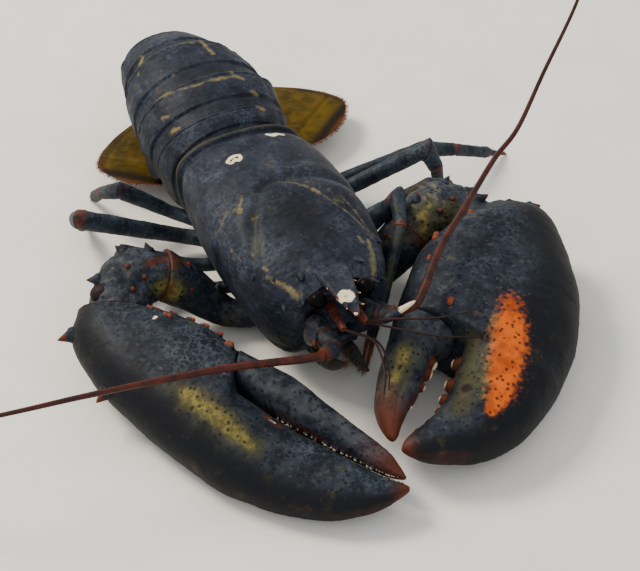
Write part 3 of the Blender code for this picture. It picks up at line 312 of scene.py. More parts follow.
# Antennae: the jointed base from the front of the carapace, then the route of the whip
ANTENNA_THICK = 3.8
ANTENNA_TIP_THICK = 1.0
WHIP_JOINT = 1.6
ANTENNA_BASE_SIZES = (4.6, 4.9, 4.4, 4.4, 4.5, 4.0, 3.8, 3.3, 2.8)
SCALE_SPINE_LENGTH = 9.02
RIGHT_ANTENNA_BASE = (
    (-10.5, -CARAPACE_LENGTH - GAP, 37.5),
    (-10.0, -116.5, 38.0),
    (-10.5, -125.0, 38.8),
    (-16.0, -128.8, 40.0),
)
RIGHT_ANTENNA_ROUTE = (
    (-25.0, -128.6, 41.2),
    (-54.0, -124.0, 44.0),
    (-86.0, -121.0, 46.0),
    (-115.0, -117.5, 46.0),
    (-145.0, -113.5, 45.0),
    (-195.0, -103.0, 41.0),
    (-240.0, -87.0, 35.0),
)
LEFT_ANTENNA_BASE = (
    (10.5, -CARAPACE_LENGTH - GAP, 38.0),
    (10.5, -114.0, 41.0),
    (13.0, -120.5, 44.0),
    (18.5, -123.4, 46.0),
)
LEFT_ANTENNA_ROUTE = (
    (26.5, -124.0, 47.5),
    (33.0, -118.5, 49.0),
    (42.5, -108.0, 51.5),
    (53.0, -98.0, 53.5),
    (68.0, -86.0, 56.0),
    (89.5, -69.0, 61.0),
    (105.5, -59.5, 66.0),
    (127.5, -40.0, 75.0),
    (160.0, -10.0, 85.0),
    (187.5, 23.0, 92.0),
    (214.0, 63.0, 96.0),
)
ANTENNULE_END = np.array([5.0, -124.0, 46.0])
ANTENNULE_SIZES = (2.0, 2.1, 1.8, 1.8, 1.3)
RIGHT_ANTENNULE_WHIPS = (
    ((4.0, -134.0, 44.0), (2.0, -148.0, 40.0), (-4.0, -160.0, 42.0)),
    ((5.5, -133.0, 43.0), (6.0, -143.0, 38.0), (2.0, -152.0, 35.0)),
)
LEFT_ANTENNULE_WHIPS = (
    ((12.0, -130.0, 46.0), (28.0, -143.0, 46.0), (43.0, -150.0, 46.0)),
    ((13.0, -128.5, 48.5), (30.0, -138.0, 51.0), (46.0, -143.0, 54.0)),
)

# Eyes and the outer mouth legs
EYE_ROOT = np.array([9.6, -CARAPACE_LENGTH - GAP, 50.5])
EYE_BALL = np.array([11.5, -113.0, 54.5])
LEFT_EYE_INWARD = 1.7
CORNEA_RADIUS = 3.6
CORNEA_SUNK = 2.8
MOUTH_LEG_SIZES = np.array([3.2, 3.6, 3.8, 3.6, 3.2, 2.8, 2.3, 1.7, 0.8])
RIGHT_MOUTH_LEG = ((-6.5, -106.3, 15.5), (-5.0, -114.0, 17.5), (-2.5, -119.5, 22.0))
LEFT_MOUTH_LEG = ((6.5, -106.3, 14.5), (7.0, -114.5, 14.5), (7.0, -122.0, 16.5))

# Coloured patches that lie on the skins: mark, points of its middle line, widths along it, strength
BACK_PATCHES = (
    ("tan", ((1.0, -46.0, 61.5), (4.6, -50.4, 63.1), (8.4, -55.3, 62.9), (11.3, -59.0, 62.5),
             (15.0, -66.0, 61.8), (18.8, -72.5, 60.1), (21.6, -78.3, 58.2), (23.8, -83.5, 56.1)),
     (0.9, 1.1, 1.3, 1.2, 0.9, 1.0, 1.1, 0.8), 0.6),
    ("tan", ((14.5, -56.9, 62.0), (20.6, -63.6, 60.2), (23.5, -72.2, 58.3), (25.1, -79.8, 56.0),
             (26.3, -87.0, 52.6)),
     (0.7, 0.9, 0.8, 0.8, 0.6), 0.49),
    ("tan", ((-16.8, -47.6, 60.1), (-21.2, -56.1, 60.1)), (1.0, 1.4), 0.64),
    ("tan", ((-21.2, -53.1, 59.6), (-26.0, -53.3, 55.7), (-29.3, -55.7, 52.7), (-30.0, -69.5, 53.1),
             (-29.2, -76.1, 52.7)), (2.6, 2.6, 2.2, 1.2, 0.9), 0.38),
    ("tan", ((-14.3, -63.1, 62.0), (-18.7, -63.0, 60.8)), (0.8, 1.2), 0.45),
    ("tan", ((10.6, -58.0, 62.6), (12.0, -60.2, 62.3)), (1.5, 1.5), 0.86),
    ("tan", ((-21.2, -55.4, 60.0), (-21.2, -56.9, 60.0)), (1.7, 1.7), 0.83),
    ("tan", ((17.8, -88.2, 57.8), (18.4, -90.4, 57.2)), (1.2, 1.2), 0.75),
    ("tan", ((-23.6, -87.0, 55.2), (-22.6, -89.0, 55.0)), (1.0, 1.0), 0.68),
    ("tan", ((-23.6, -90.9, 53.0), (-20.0, -98.0, 53.4), (-15.8, -105.4, 51.8), (-13.0, -107.0, 48.8)),
     (1.2, 1.6, 2.3, 2.3), 0.65),
    ("tan", ((21.6, -89.5, 55.8), (20.2, -95.6, 54.6), (18.4, -101.1, 53.1), (16.5, -107.0, 51.5)),
     (1.2, 1.7, 2.2, 2.2), 0.65),
    # Below: a white ring and a white dash painted on the shield, and a white ring and a white dot painted on
    # the beak
    ("cream", ((-13.2, -23.6, 58.8), (-12.3, -21.6, 59.2), (-9.8, -20.2, 59.4), (-7.4, -20.6, 59.6),
               (-7.3, -23.2, 59.6), (-8.9, -24.9, 59.6), (-9.9, -22.6, 59.5), (-11.8, -25.0, 59.2),
               (-13.2, -23.6, 58.8)), (0.9, 1.0, 1.1, 0.9, 1.0, 0.9, 0.7, 0.8, 0.9), 1.2),
    ("cream", ((10.6, -9.2, 57.2), (12.6, -11.2, 56.8), (14.4, -10.3, 56.4), (17.0, -11.4, 55.6)),
     (1.0, 1.4, 1.2, 1.1), 1.2),
    ("cream", ((-3.9, -118.4, 58.0), (-2.3, -117.2, 58.2), (-0.5, -118.0, 58.2), (-0.2, -120.2, 58.0),
               (-1.8, -121.4, 57.9), (-3.6, -120.6, 57.9), (-3.9, -118.4, 58.0)), (1.8,) * 7, 1.2),
    ("cream", ((-2.6, -129.3, 57.9), (-2.0, -129.6, 57.9)), (0.7, 0.7), 1.2),
    ("tan", ((-21.4, 61.0, 55.1), (-18.1, 66.0, 55.2)), (1.7, 1.7), 0.71),
    ("tan", ((-21.5, 67.5, 55.1), (-13.5, 64.2, 60.3), (-7.4, 61.7, 62.4), (-1.6, 59.3, 63.0),
             (7.3, 58.4, 62.1)), (1.3, 1.5, 1.3, 1.2, 1.3), 0.52),
    ("tan", ((7.3, 58.4, 62.1), (8.8, 48.2, 61.9)), (1.7, 1.6), 0.72),
    ("tan", ((10.9, 36.7, 61.6), (11.6, 31.8, 61.0)), (1.3, 1.3), 0.7),
    ("tan", ((-24.8, 54.4, 55.6), (-24.4, 55.6, 55.8)), (1.2, 1.0), 0.56),
    ("tan", ((-23.0, 34.3, 55.2), (-19.9, 33.7, 57.4), (-17.8, 32.9, 58.4)), (1.5, 1.6, 1.2), 0.71),
    ("tan", ((-17.8, 32.9, 58.4), (-7.9, 30.1, 61.1), (-2.0, 30.0, 61.4), (4.9, 29.8, 61.4),
             (12.2, 30.5, 60.2)),
     (0.9, 1.2, 1.0, 1.3, 1.0), 0.6),
    ("tan", ((12.2, 30.5, 60.2), (15.2, 28.5, 59.0)), (1.5, 1.3), 0.71),
    ("tan", ((-24.6, 24.6, 52.0), (-22.6, 23.2, 53.6)), (1.6, 1.2), 0.64),
    ("tan", ((16.2, 21.4, 56.4), (18.4, 19.6, 55.0)), (1.6, 1.2), 0.68),
    ("tan", ((-23.0, 17.0, 50.0), (-20.8, 15.6, 52.0)), (1.7, 1.3), 0.71),
    ("tan", ((15.0, 12.2, 55.3), (17.4, 10.6, 54.2)), (1.3, 1.7), 0.71),
)
CRUSHER_PATCHES = (
    # The dark band along the crusher's outer side is painted shade
    ("dark", ((78.0, -135.0, 36.0), (70.0, -152.0, 34.0), (60.0, -167.0, 30.0), (48.0, -178.0, 24.0)),
     (10.0, 10.0, 9.0, 7.0), 1.1),
    ("orange", ((63.6, -137.5, 37.2), (59.6, -144.4, 35.6), (53.0, -154.0, 33.0), (46.0, -164.5, 29.6),
                (37.8, -171.5, 27.4)), (5.6, 7.0, 6.8, 5.6, 3.0), 1.15),
    ("orange", ((67.0, -130.5, 38.6), (63.0, -138.0, 37.0)), (6.4, 6.8), 0.62),
    ("yellow", ((57.0, -136.0, 37.0), (51.5, -145.0, 34.8), (44.5, -155.0, 31.5), (38.0, -166.0, 28.8)),
     (3.8, 4.2, 4.0, 3.0), 0.6),
    ("olive", ((51.0, -133.0, 29.0), (43.0, -144.0, 28.0), (35.5, -155.0, 28.0), (27.0, -166.0, 27.5)),
     (6.5, 7.0, 6.5, 5.0), 0.85),
    ("ember", ((51.8, -131.2, 40.0),), (1.0,), 1.2),
    ("maroon", ((33.2, -158.1, 28.6),), (2.6,), 1.1),
    ("olive", ((17.5, -136.0, 35.0), (10.5, -142.0, 32.6), (4.5, -149.0, 29.8)), (7.0, 7.0, 6.0), 0.85),
    ("yellow", ((16.5, -136.0, 35.0), (11.5, -141.0, 33.0), (8.0, -145.0, 31.5)), (3.2, 3.2, 2.4), 0.72),
)
CUTTER_PATCHES = (
    ("olive", ((-73.0, -112.0, 30.0), (-65.2, -127.6, 28.3), (-55.0, -150.0, 23.5)), (5.0, 8.0, 5.0), 0.8),
    ("yellow", ((-71.0, -115.7, 29.9), (-67.7, -122.4, 29.0), (-65.2, -127.6, 28.3), (-62.3, -135.1, 27.3),
                (-59.2, -140.9, 25.9), (-56.1, -148.6, 24.1)), (3.0, 3.8, 4.6, 4.0, 3.6, 2.2), 0.82),
    ("rust", ((-45.0, -136.6, 23.6), (-40.6, -143.2, 23.2)), (1.9, 1.4), 0.85),
    ("cream", ((-44.2, -138.2, 23.6), (-42.4, -140.6, 23.3)), (1.7, 1.1), 0.66),
    ("cream", ((-68.3, -77.2, 35.5), (-67.3, -76.4, 35.7)), (0.8, 0.8), 1.2),
)
RIGHT_WRIST_PATCHES = (
    ("yellow", ((-53.0, -57.0, 28.0), (-57.0, -58.0, 30.5)), (4.2, 4.6), 1.2),
    ("olive", ((-55.0, -56.0, 31.0), (-51.0, -56.0, 28.0)), (6.5, 6.5), 0.8),
    ("rust", ((-60.3, -49.5, 40.1), (-50.4, -46.8, 37.7), (-43.5, -48.0, 34.0)), (2.0, 2.2, 1.8), 0.68),
)
LEFT_WRIST_PATCHES = (
    ("olive", ((58.3, -63.5, 36.8), (62.9, -63.6, 38.0), (58.0, -69.5, 30.3), (71.1, -66.4, 37.4)),
     (6.0, 6.0, 6.0, 6.0), 0.9),
    ("yellow", ((60.0, -64.5, 37.0), (57.0, -69.0, 31.0)), (2.2, 2.2), 0.8),
)

# The camera of the photograph, in degrees and millimetres; its focus is in the photograph's own pixels
CAMERA_TURN = -23.932
CAMERA_LIFT = 42.155
CAMERA_DISTANCE = 950.0
CAMERA_FOCUS = 2278.716
SENSOR_WIDTH = 36.0
PICTURE_WIDTH = 640.0
CAMERA_AIM = np.array([4.078, -80.369, 30.0])


def unit(vector):
    """The vectors at length one."""
    return vector / np.maximum(np.linalg.norm(vector, axis=-1, keepdims=True), 1e-9)


def smooth_path(points, count):
    """Points on a Catmull-Rom curve through the given ones, evenly spread in the parameter."""
    points = np.asarray(points, float)
    padded = np.vstack([2 * points[0] - points[1], points, 2 * points[-1] - points[-2]])
    place = np.linspace(0.0, len(points) - 1.0, count)
    span = np.minimum(place.astype(int), len(points) - 2)
    t = (place - span)[:, None]
    a, b, c, d = (padded[span + step] for step in range(4))
    return 0.5 * (2 * b + (c - a) * t + (2 * a - 5 * b + 4 * c - d) * t**2 + (3 * b - a - 3 * c + d) * t**3)


def smooth_row(values, count):
    """The same curve through a row of plain numbers."""
    return smooth_path(np.asarray(values, float)[:, None], count)[:, 0]


def eased(where, places, values):
    """Cubic Hermite curve through (places, values), its slopes taken from the neighbours, read at where."""
    places = np.asarray(places, float)
    values = np.asarray(values, float)
    slopes = np.gradient(values, places)
    span = np.clip(np.searchsorted(places, where, side="right") - 1, 0, len(places) - 2)
    width = places[span + 1] - places[span]
    t = (where - places[span]) / width
    start = (2 * t**3 - 3 * t**2 + 1) * values[span] + (t**3 - 2 * t**2 + t) * width * slopes[span]
    return start + (3 * t**2 - 2 * t**3) * values[span + 1] + (t**3 - t**2) * width * slopes[span + 1]


def ramp(value, low, high):
    """0 below low, 1 above high, and 3t² - 2t³ between."""
    t = np.clip((value - low) / (high - low), 0.0, 1.0)
    return t * t * (3.0 - 2.0 * t)


def hump(value, middle, width):
    """exp(-((value - middle) / width)²)."""
    return np.exp(-(((value - middle) / width) ** 2))


def oval(sides, power=2.0):
    """Unit oval as two arrays, |cos|^(2/power) and |sin|^(2/power); a power above 2 squares its corners."""
    turn = np.linspace(0.0, 2.0 * np.pi, sides, endpoint=False)
    across = np.sign(np.cos(turn)) * np.abs(np.cos(turn)) ** (2.0 / power)
    rise = np.sign(np.sin(turn)) * np.abs(np.sin(turn)) ** (2.0 / power)
    return across, rise


def lumps(points, size, seed):
    """Value noise from -1 to 1: random numbers on a lattice of that size, blended by 3t² - 2t³ between
    corners."""
    table = np.random.default_rng(seed).uniform(-1.0, 1.0, 4096)
    scaled = points / size
    corner = np.floor(scaled).astype(np.int64)
    part = scaled - corner
    part = part * part * (3.0 - 2.0 * part)
    total = np.zeros(points.shape[:-1])
    for step in itertools.product((0, 1), repeat=3):
        cell = corner + np.array(step)
        code = (cell * np.array([73856093, 19349663, 83492791])).sum(axis=-1)
        weight = np.where(np.array(step) == 1, part, 1.0 - part).prod(axis=-1)
        total += weight * table[np.bitwise_xor(code, code >> 13) & 4095]
    return total


def worn(points, size, seed):
    """Three octaves of value noise, each half the size and half the height of the one before."""
    return sum(lumps(points, size / 2**step, seed + step) / 2**step for step in range(3)) / 1.75


def near_path(points, path, width):
    """exp(-(distance to the nearest point of the path / width)²); the width may change along the path."""
    gap = np.linalg.norm(points[..., None, :] - np.asarray(path, float), axis=-1) / width
    return np.exp(-(gap.min(axis=-1) ** 2))


def outward(rings):
    """Unit normals of a grid of rings: steps along crossed with steps round, pointing away from the
    middle."""
    along = np.gradient(rings, axis=0)
    around = np.roll(rings, -1, axis=1) - np.roll(rings, 1, axis=1)
    normal = unit(np.cross(along, around))
    away = rings - rings.mean(axis=1, keepdims=True)
    return normal * np.sign((normal * away).sum())


def raised(rings, relief):
    """The rings moved out along their normals by the relief."""
    return rings + outward(rings) * relief[..., None]


def reach_along(path):
    """How far along the path each of its points is from its start."""
    return np.concatenate([[0.0], np.cumsum(np.linalg.norm(np.diff(path, axis=0), axis=1))])


def read_along(where, places, rows):
    """Points or directions read from rows at the given places, straight between the rows."""
    return np.stack([np.interp(where, places, rows[:, axis]) for axis in range(3)], axis=1)


def facing_out(points, quads, triangles):
    """The same faces, all turned over if the volume that they close comes out negative."""
    corners = points[np.concatenate([quads[:, :3], quads[:, [0, 2, 3]], triangles])]
    volume = np.einsum("ij,ij->i", corners[:, 0], np.cross(corners[:, 1], corners[:, 2])).sum()
    step = -1 if volume < 0 else 1
    return quads[:, ::step], triangles[:, ::step]


def skin(rings, marks=None, ends=None):
    """A closed skin over rings (along × round × 3), with a fan to a middle point at each end, facing
    outward."""
    rows, sides, _ = rings.shape
    if ends is None:
        ends = (rings[0].mean(axis=0), rings[-1].mean(axis=0))
    points = np.concatenate([rings.reshape(-1, 3), np.array(ends, float)])
    index = np.arange(rows * sides).reshape(rows, sides)
    after = np.roll(index, -1, axis=1)
    quads = np.stack([index[:-1], after[:-1], after[1:], index[1:]], axis=-1).reshape(-1, 4)
    first = np.stack([after[0], index[0], np.full(sides, rows * sides)], axis=-1)
    last = np.stack([index[-1], after[-1], np.full(sides, rows * sides + 1)], axis=-1)
    quads, triangles = facing_out(points, quads, np.concatenate([first, last]))
    strengths = np.zeros((rows, sides, len(MARKS)))
    for name, strength in (marks or {}).items():
        strengths[:, :, MARKS.index(name)] = strength
    caps = np.stack([strengths[0].mean(axis=0), strengths[-1].mean(axis=0)])
    return points, quads, triangles, np.concatenate([strengths.reshape(-1, len(MARKS)), caps])


def add_mesh(name, points, quads, triangles, finish, nodes):
    """A smooth mesh object from whole arrays, riding on the root body and standing for the CAD nodes."""
    mesh = bpy.data.meshes.new(name)
    placed = points + SHIFT
    placed[:, 2] = np.maximum(placed[:, 2], 0.0)
    mesh.vertices.add(len(placed))
    mesh.vertices.foreach_set("co", (placed * MM).astype(np.float32).ravel())
    corners = np.concatenate([quads.ravel(), triangles.ravel()]).astype(np.int32)
    sizes = np.concatenate([np.full(len(quads), 4), np.full(len(triangles), 3)])
    starts = np.concatenate([[0], np.cumsum(sizes)[:-1]]).astype(np.int32)
    mesh.loops.add(len(corners))
    mesh.loops.foreach_set("vertex_index", corners)
    mesh.polygons.add(len(sizes))
    mesh.polygons.foreach_set("loop_start", starts)
    mesh.polygons.foreach_set("use_smooth", np.ones(len(sizes), bool))
    mesh.update(calc_edges=True)
    mesh.validate()
    mesh.materials.append(finish)
    made = bpy.data.objects.new(name, mesh)
    bpy.context.scene.collection.objects.link(made)
    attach(made, "root")
    if nodes:
        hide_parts(*nodes)
    return made


def add_piece(name, skins, finish, slot, *nodes):
    """One object made of closed skins, with the strength of every mark kept on its points."""
    counts = np.cumsum([0] + [len(made[0]) for made in skins])
    points = np.concatenate([made[0] for made in skins])
    quads = np.concatenate([made[1] + count for made, count in zip(skins, counts)])
    triangles = np.concatenate([made[2] + count for made, count in zip(skins, counts)])
    strengths = np.concatenate([made[3] for made in skins])
    made = add_mesh(name, points, quads, triangles, finish, nodes)
    for place, mark in enumerate(MARKS):
        kept = made.data.attributes.new(mark, "FLOAT", "POINT")
        kept.data.foreach_set("value", np.clip(strengths[:, place], 0.0, 1.0).astype(np.float32))
    return made


def limb_rings(path, across, rise, sides, start=None, end=None, power=2.0):
    """Oval rings along a path: point + across·cos·side + rise·sin·over, with side level and over across it.

    start and end are joint planes (point, normal): rings near them are slid along the path onto that
    plane's slope.
    """
    path = np.asarray(path, float)
    rows = len(path)
    across = np.broadcast_to(np.asarray(across, float), rows)
    rise = np.broadcast_to(np.asarray(rise, float), rows)
    along = unit(np.gradient(path, axis=0))
    side = unit(np.cross(along, UP))
    over = np.cross(side, along)
    cos_side, sin_side = oval(sides, power)
    rings = path[:, None] + (across[:, None] * cos_side)[..., None] * side[:, None]
    rings = rings + (rise[:, None] * sin_side)[..., None] * over[:, None]
    from_start = reach_along(path)
    for plane, reach in ((start, from_start), (end, from_start[-1] - from_start)):
        if plane is None:
            continue
        joint = 0 if plane is start else -1
        share = np.clip(1.0 - reach / (1.8 * across.mean()), 0.0, 1.0) ** 1.5
        origin = plane[0] + path - path[joint]
        slide = ((origin[:, None] - rings) @ plane[1]) / (along @ plane[1])[:, None]
        rings = rings + (slide * share[:, None])[..., None] * along[:, None]
    return rings


def joint_plane(before, joint, after):
    """The plane that halves the bend of a limb at a joint."""
    return joint, unit(unit(joint - before) + unit(after - joint))


def shifted(plane, distance):
    """The same plane moved along its normal."""
    point, normal = plane
    return point + normal * distance, normal


def patched(points, marks, patches):
    """Raises each patch's mark to strength·exp(-(distance to its smooth middle line / width)²)."""
    low, high = points.min(axis=(0, 1)) - 8.0, points.max(axis=(0, 1)) + 8.0
    for mark, path, widths, strength in patches:
        if ((np.array(path) > low) & (np.array(path) < high)).all(axis=1).any():
            if len(path) > 1:
                path, widths = smooth_path(path, 40), smooth_row(widths, 40)
            near = near_path(points, path, widths)
            marks[mark] = np.maximum(marks.get(mark, 0.0), strength * near)
    return marks


def thorn(root, way, length, half_width, blunt=False, curl=0.0, mark="ember", tipped=0.25, crown=0.0):
    """A spine: rings of radius half_width·(1 - t)^0.8, flared below the skin, bent upward by curl·t².

    Its mark begins at the tipped share of its length, and crown is the strength of the cream white at its
    tip.
    """
    way = unit(np.asarray(way, float))
    t = np.concatenate([[-0.5, -0.25, -0.08], np.linspace(0.03, 0.999, 11)])
    body = np.clip(t, 0.0, 1.0)
    taper = np.sqrt(np.maximum(1.0 - body**2.2, 0.0)) if blunt else (1.0 - body) ** 0.8
    radius = half_width * (taper + 0.35 * np.exp(-np.maximum(t, 0.0) / 0.12))
    path = root + np.outer(t * length, way) + np.outer(curl * length * body**2, UP)
    across = unit(np.cross(way, UP + 0.3 * AHEAD))
    over = np.cross(way, across)
    cos_side, sin_side = oval(14)
    rings = path[:, None] + radius[:, None, None] * (cos_side[:, None] * across + sin_side[:, None] * over)
    marks = {mark: ramp(body, tipped - 0.25, tipped + 0.25)[:, None]}
    if crown:
        marks["cream"] = crown * ramp(body, 0.55, 0.95)[:, None]
    return skin(rings, marks)


def ball(middle, radii, marks=None, sides=24, rows=14):
    """A closed ellipsoid: middle + radii·(sin t cos s, sin t sin s, cos t)."""
    tall = np.linspace(0.12, np.pi - 0.12, rows)
    cos_side, sin_side = oval(sides)
    rings = np.stack([np.outer(np.sin(tall), cos_side), np.outer(np.sin(tall), sin_side),
                      np.outer(np.cos(tall), np.ones(sides))], axis=-1)
    poles = np.array([[0.0, 0.0, 1.0], [0.0, 0.0, -1.0]])
    return skin(np.asarray(middle) + rings * radii, marks, np.asarray(middle) + poles * radii)


def shield_grid(places, angles):
    """The arch of the shield at each place ahead of the back edge and each angle down from the back line.

    x = half·|sin a|^0.85 and z = middle + reach·|cos a|^0.85, and a point is swept forward by
    22·bulge·(a/138°)^1.3.
    """
    ahead, halves, tops, hems = np.array(CARAPACE_STATIONS).T
    half, top, hem = (eased(places, ahead, values)[:, None] for values in (halves, tops, hems))
    middle = hem + SIDE_LEVEL * (top - hem)
    lower = (middle - hem) / abs(math.cos(SIDE_WRAP)) ** SHOULDER
    bulge = np.sin(np.pi * np.clip(places, 0.0, CARAPACE_LENGTH) / CARAPACE_LENGTH) ** 0.8
    sweep = GROOVE_SWEEP * np.outer(bulge, (np.abs(angles) / SIDE_WRAP) ** 1.3)
    x = half * np.sign(angles) * np.abs(np.sin(angles)) ** SHOULDER
    reach = np.where(np.cos(angles) > 0, top - middle, lower)
    z = middle + reach * np.sign(np.cos(angles)) * np.abs(np.cos(angles)) ** SHOULDER
    return np.stack([x, -(places[:, None] + sweep), z], axis=-1)


def shield_relief(grid, places, angles):
    """How far the shield stands out: rim and hem beads, neck groove, back line, brow ridges, grains and
    lumps."""
    x = np.abs(grid[..., 0])
    behind = -grid[..., 1]
    upper = ramp(np.cos(angles), -0.35, 0.25)
    neck = (behind - 45.5 - 0.056 * x**2) / np.sqrt(1.0 + (0.112 * x) ** 2)
    relief = -0.95 * hump(neck, 0.0, 2.3) * upper * ramp(x, -2.0, 6.0)
    relief += 0.35 * hump(neck, -5.0, 3.5) * upper
    relief += 0.75 * hump(places, 1.3, 1.1)[:, None] - 0.5 * hump(places, 3.9, 0.9)[:, None]
    relief -= 0.35 * hump(grid[..., 0], 0.0, 0.55) * ramp(places, 3.0, 8.0)[:, None]
    relief += 0.7 * ramp(np.abs(angles), SIDE_WRAP - 0.10, SIDE_WRAP - 0.04)
    brow = hump(x, 7.0 + 0.06 * (CARAPACE_LENGTH - places[:, None]), 1.4)
    relief += 0.7 * brow * ramp(places, 84.0, 103.0)[:, None] * (np.cos(angles) > 0.3)
    cheek = hump(np.abs(angles), math.radians(72), 0.35) * hump(places, 90.0, 11.0)[:, None]
    relief += 0.8 * cheek
    front = ramp(neck, 1.0, 6.0)
    relief += 0.16 * front * lumps(grid, 1.7, 3) + 0.10 * lumps(grid, 1.1, 5) * (0.3 + front)
    relief += 0.38 * worn(grid, 16.0, 11)
    return relief, neck, upper


def shield_marks(grid, places, angles, neck, upper):
    """The shield's coloured patches: the neck groove, the rim, a darker middle and sides, and its own
    streaks."""
    rim = hump(places, 0.7, 1.5)[:, None] * np.ones(grid.shape[:2])
    mottle = ramp(worn(grid, 6.0, 31), -0.1, 0.6)
    groove = hump(neck, 0.0, 4.5) * upper
    middle = hump(grid[..., 0], 0.0, 13.0) * hump(-grid[..., 1], 70.0, 18.0)
    sides = ramp(-np.cos(angles), -0.15, 0.6)
    marks = {
        "olive": np.maximum(0.9 * rim, 0.55 * groove * (0.35 + 0.65 * mottle)),
        "tan": 0.5 * groove * mottle * ramp(lumps(grid, 1.6, 33), -0.2, 0.5),
        "ember": 0.30 * rim,
        "dark": np.clip(0.8 * middle + 0.5 * sides, 0.0, 1.0),
    }
    return patched(grid, marks, BACK_PATCHES)


def make_shield():
    """The shield: the arched grid with its relief, closed below, turned in at the rim and sunk at the
    face."""
    places = np.concatenate([np.linspace(0.0, 5.0, 22)[:-1], np.linspace(5.0, CARAPACE_LENGTH, 230)])
    angles = np.linspace(-SIDE_WRAP, SIDE_WRAP, 188)
    grid = shield_grid(places, angles)
    relief, neck, upper = shield_relief(grid, places, angles)
    marks = shield_marks(grid, places, angles, neck, upper)
    closed = np.concatenate([grid, grid[:, -1:]], axis=1)
    normal = outward(closed)[:, :-1]
    arch = grid + normal * relief[..., None]
    share = np.linspace(0.0, 1.0, 14)[1:-1, None]
    under = arch[:, None, -1] * (1.0 - share) + arch[:, None, 0] * share
    rings = np.concatenate([arch, under], axis=1)
    back = turned_in(rings[0], (0.995, 0.97, 0.93), (0.35, 0.1, -0.9))
    face = turned_in(rings[-1], (0.995, 0.96, 0.86, 0.6, 0.3), (-0.5, -0.4, 1.6, 3.4, 3.8))
    rings = np.concatenate([back[::-1], rings, face])
    for name, strength in marks.items():
        wide = np.pad(strength, ((0, 0), (0, under.shape[1])))
        marks[name] = np.pad(wide, ((len(back), len(face)), (0, 0)), mode="edge")
    marks["cream"][: len(back)] = 0.0
    return skin(rings, marks)


def turned_in(ring, shares, steps, way=-AHEAD):
    """Copies of a ring drawn in toward its middle by each share and moved by each step of that way."""
    middle = ring.mean(axis=0)
    return middle + (ring - middle) * np.array(shares)[:, None, None] + np.array(steps)[:, None, None] * way


def make_beak():
    """The rostrum: a flattened taper with a channel along its top, raised edges and upturned side spines."""
    t = np.linspace(0.0, 1.0, 90)
    half = smooth_row(ROSTRUM_HALF_WIDTHS, 90)
    path = ROSTRUM_ROOT + np.outer(t, ROSTRUM_TIP - ROSTRUM_ROOT)
    path[:, 2] += 0.8 * np.sin(np.pi * t)
    rings = limb_rings(path, half, 0.35 * half + 0.5, 48)
    across = (rings - path[:, None])[..., 0] / half[:, None]
    top = np.sign(rings[..., 2] - path[:, None, 2]) > 0
    channel = -0.22 * half[:, None] * (1.0 - across**2) ** 2 + 0.35 * hump(np.abs(across), 0.82, 0.16)
    rings[..., 2] += np.where(top, channel, 0.0) + 0.06 * lumps(rings, 1.4, 8)
    edge = hump(np.abs(across), 1.0, 0.25) * ramp(t, 0.35, 0.6)[:, None]
    tip = ramp(t, 0.80, 1.0)[:, None]
    made = [skin(rings, patched(rings, {"ember": 0.4 * tip, "rust": 0.3 * edge}, BACK_PATCHES))]
    for share in ROSTRUM_SPINES:
        middle = ROSTRUM_ROOT + (ROSTRUM_TIP - ROSTRUM_ROOT) * share
        width = float(np.interp(share, np.linspace(0.0, 1.0, 7), ROSTRUM_HALF_WIDTHS))
        for side in (-1, 1):
            root = middle + np.array([side * width * 0.8, 0.0, 0.9])
            way = (side * 0.6, -1.0, 0.35)
            made.append(thorn(root, way, ROSTRUM_SPINE_LENGTH, 0.95, curl=0.15, tipped=0.55, crown=0.6))
    return made


def make_brow_spines():
    """The spines beside and behind the eyes, each standing on the shield and pointing forward."""
    made = []
    for place, degrees, length, half_width in FRONT_SPINES:
        ahead = CARAPACE_STATIONS[place][0]
        for side in (-1, 1):
            turn = side * math.radians(degrees)
            around = shield_grid(np.array([ahead - 1.0, ahead]), np.array([turn - 0.02, turn, turn + 0.02]))
            root = around[0, 1]
            out = unit(root - np.array([0.0, root[1], 44.0]))
            way = AHEAD + 0.5 * out + 0.2 * UP
            made.append(thorn(root - 0.8 * out, way, length * 0.8, half_width * 0.85, mark="olive",
                              tipped=0.9))
    return made


def make_mouth():
    """The plate above the mouth with its two ridges, and the toothed jaws closed below it."""
    rings = limb_rings(smooth_path(MOUTH_PLATE, 40), smooth_row(MOUTH_PLATE_HALF_WIDTHS, 40),
                       smooth_row(MOUTH_PLATE_HALF_HEIGHTS, 40), 56)
    rings = raised(rings, 0.6 * hump(np.abs(rings[..., 0]), 5.0, 1.1) + 0.25 * lumps(rings, 2.4, 21))
    made = [skin(rings, {"olive": 0.5 * ramp(lumps(rings, 4.0, 22), 0.0, 0.6)})]
    for side in (-1, 1):
        route = [(side * 9.0, -99.0, 22.5), (side * 6.5, -104.0, 21.5), (side * 1.2, -107.5, 22.0)]
        path = smooth_path(route, 30)
        jaw = limb_rings(path, np.linspace(3.2, 1.6, 30), np.linspace(3.4, 2.2, 30), 28)
        made.append(skin(raised(jaw, 0.15 * lumps(jaw, 1.6, 23)), {"olive": 0.6}))
    return made


def tail_axes(slope):
    """The directions inward to the belly and back along the curl, for slopes in degrees."""
    lean = np.radians(slope)
    zero = np.zeros_like(lean)
    inward = np.stack([zero, -np.sin(lean), -np.cos(lean)], axis=-1)
    backward = np.stack([zero, np.cos(lean), -np.sin(lean)], axis=-1)
    return inward, backward


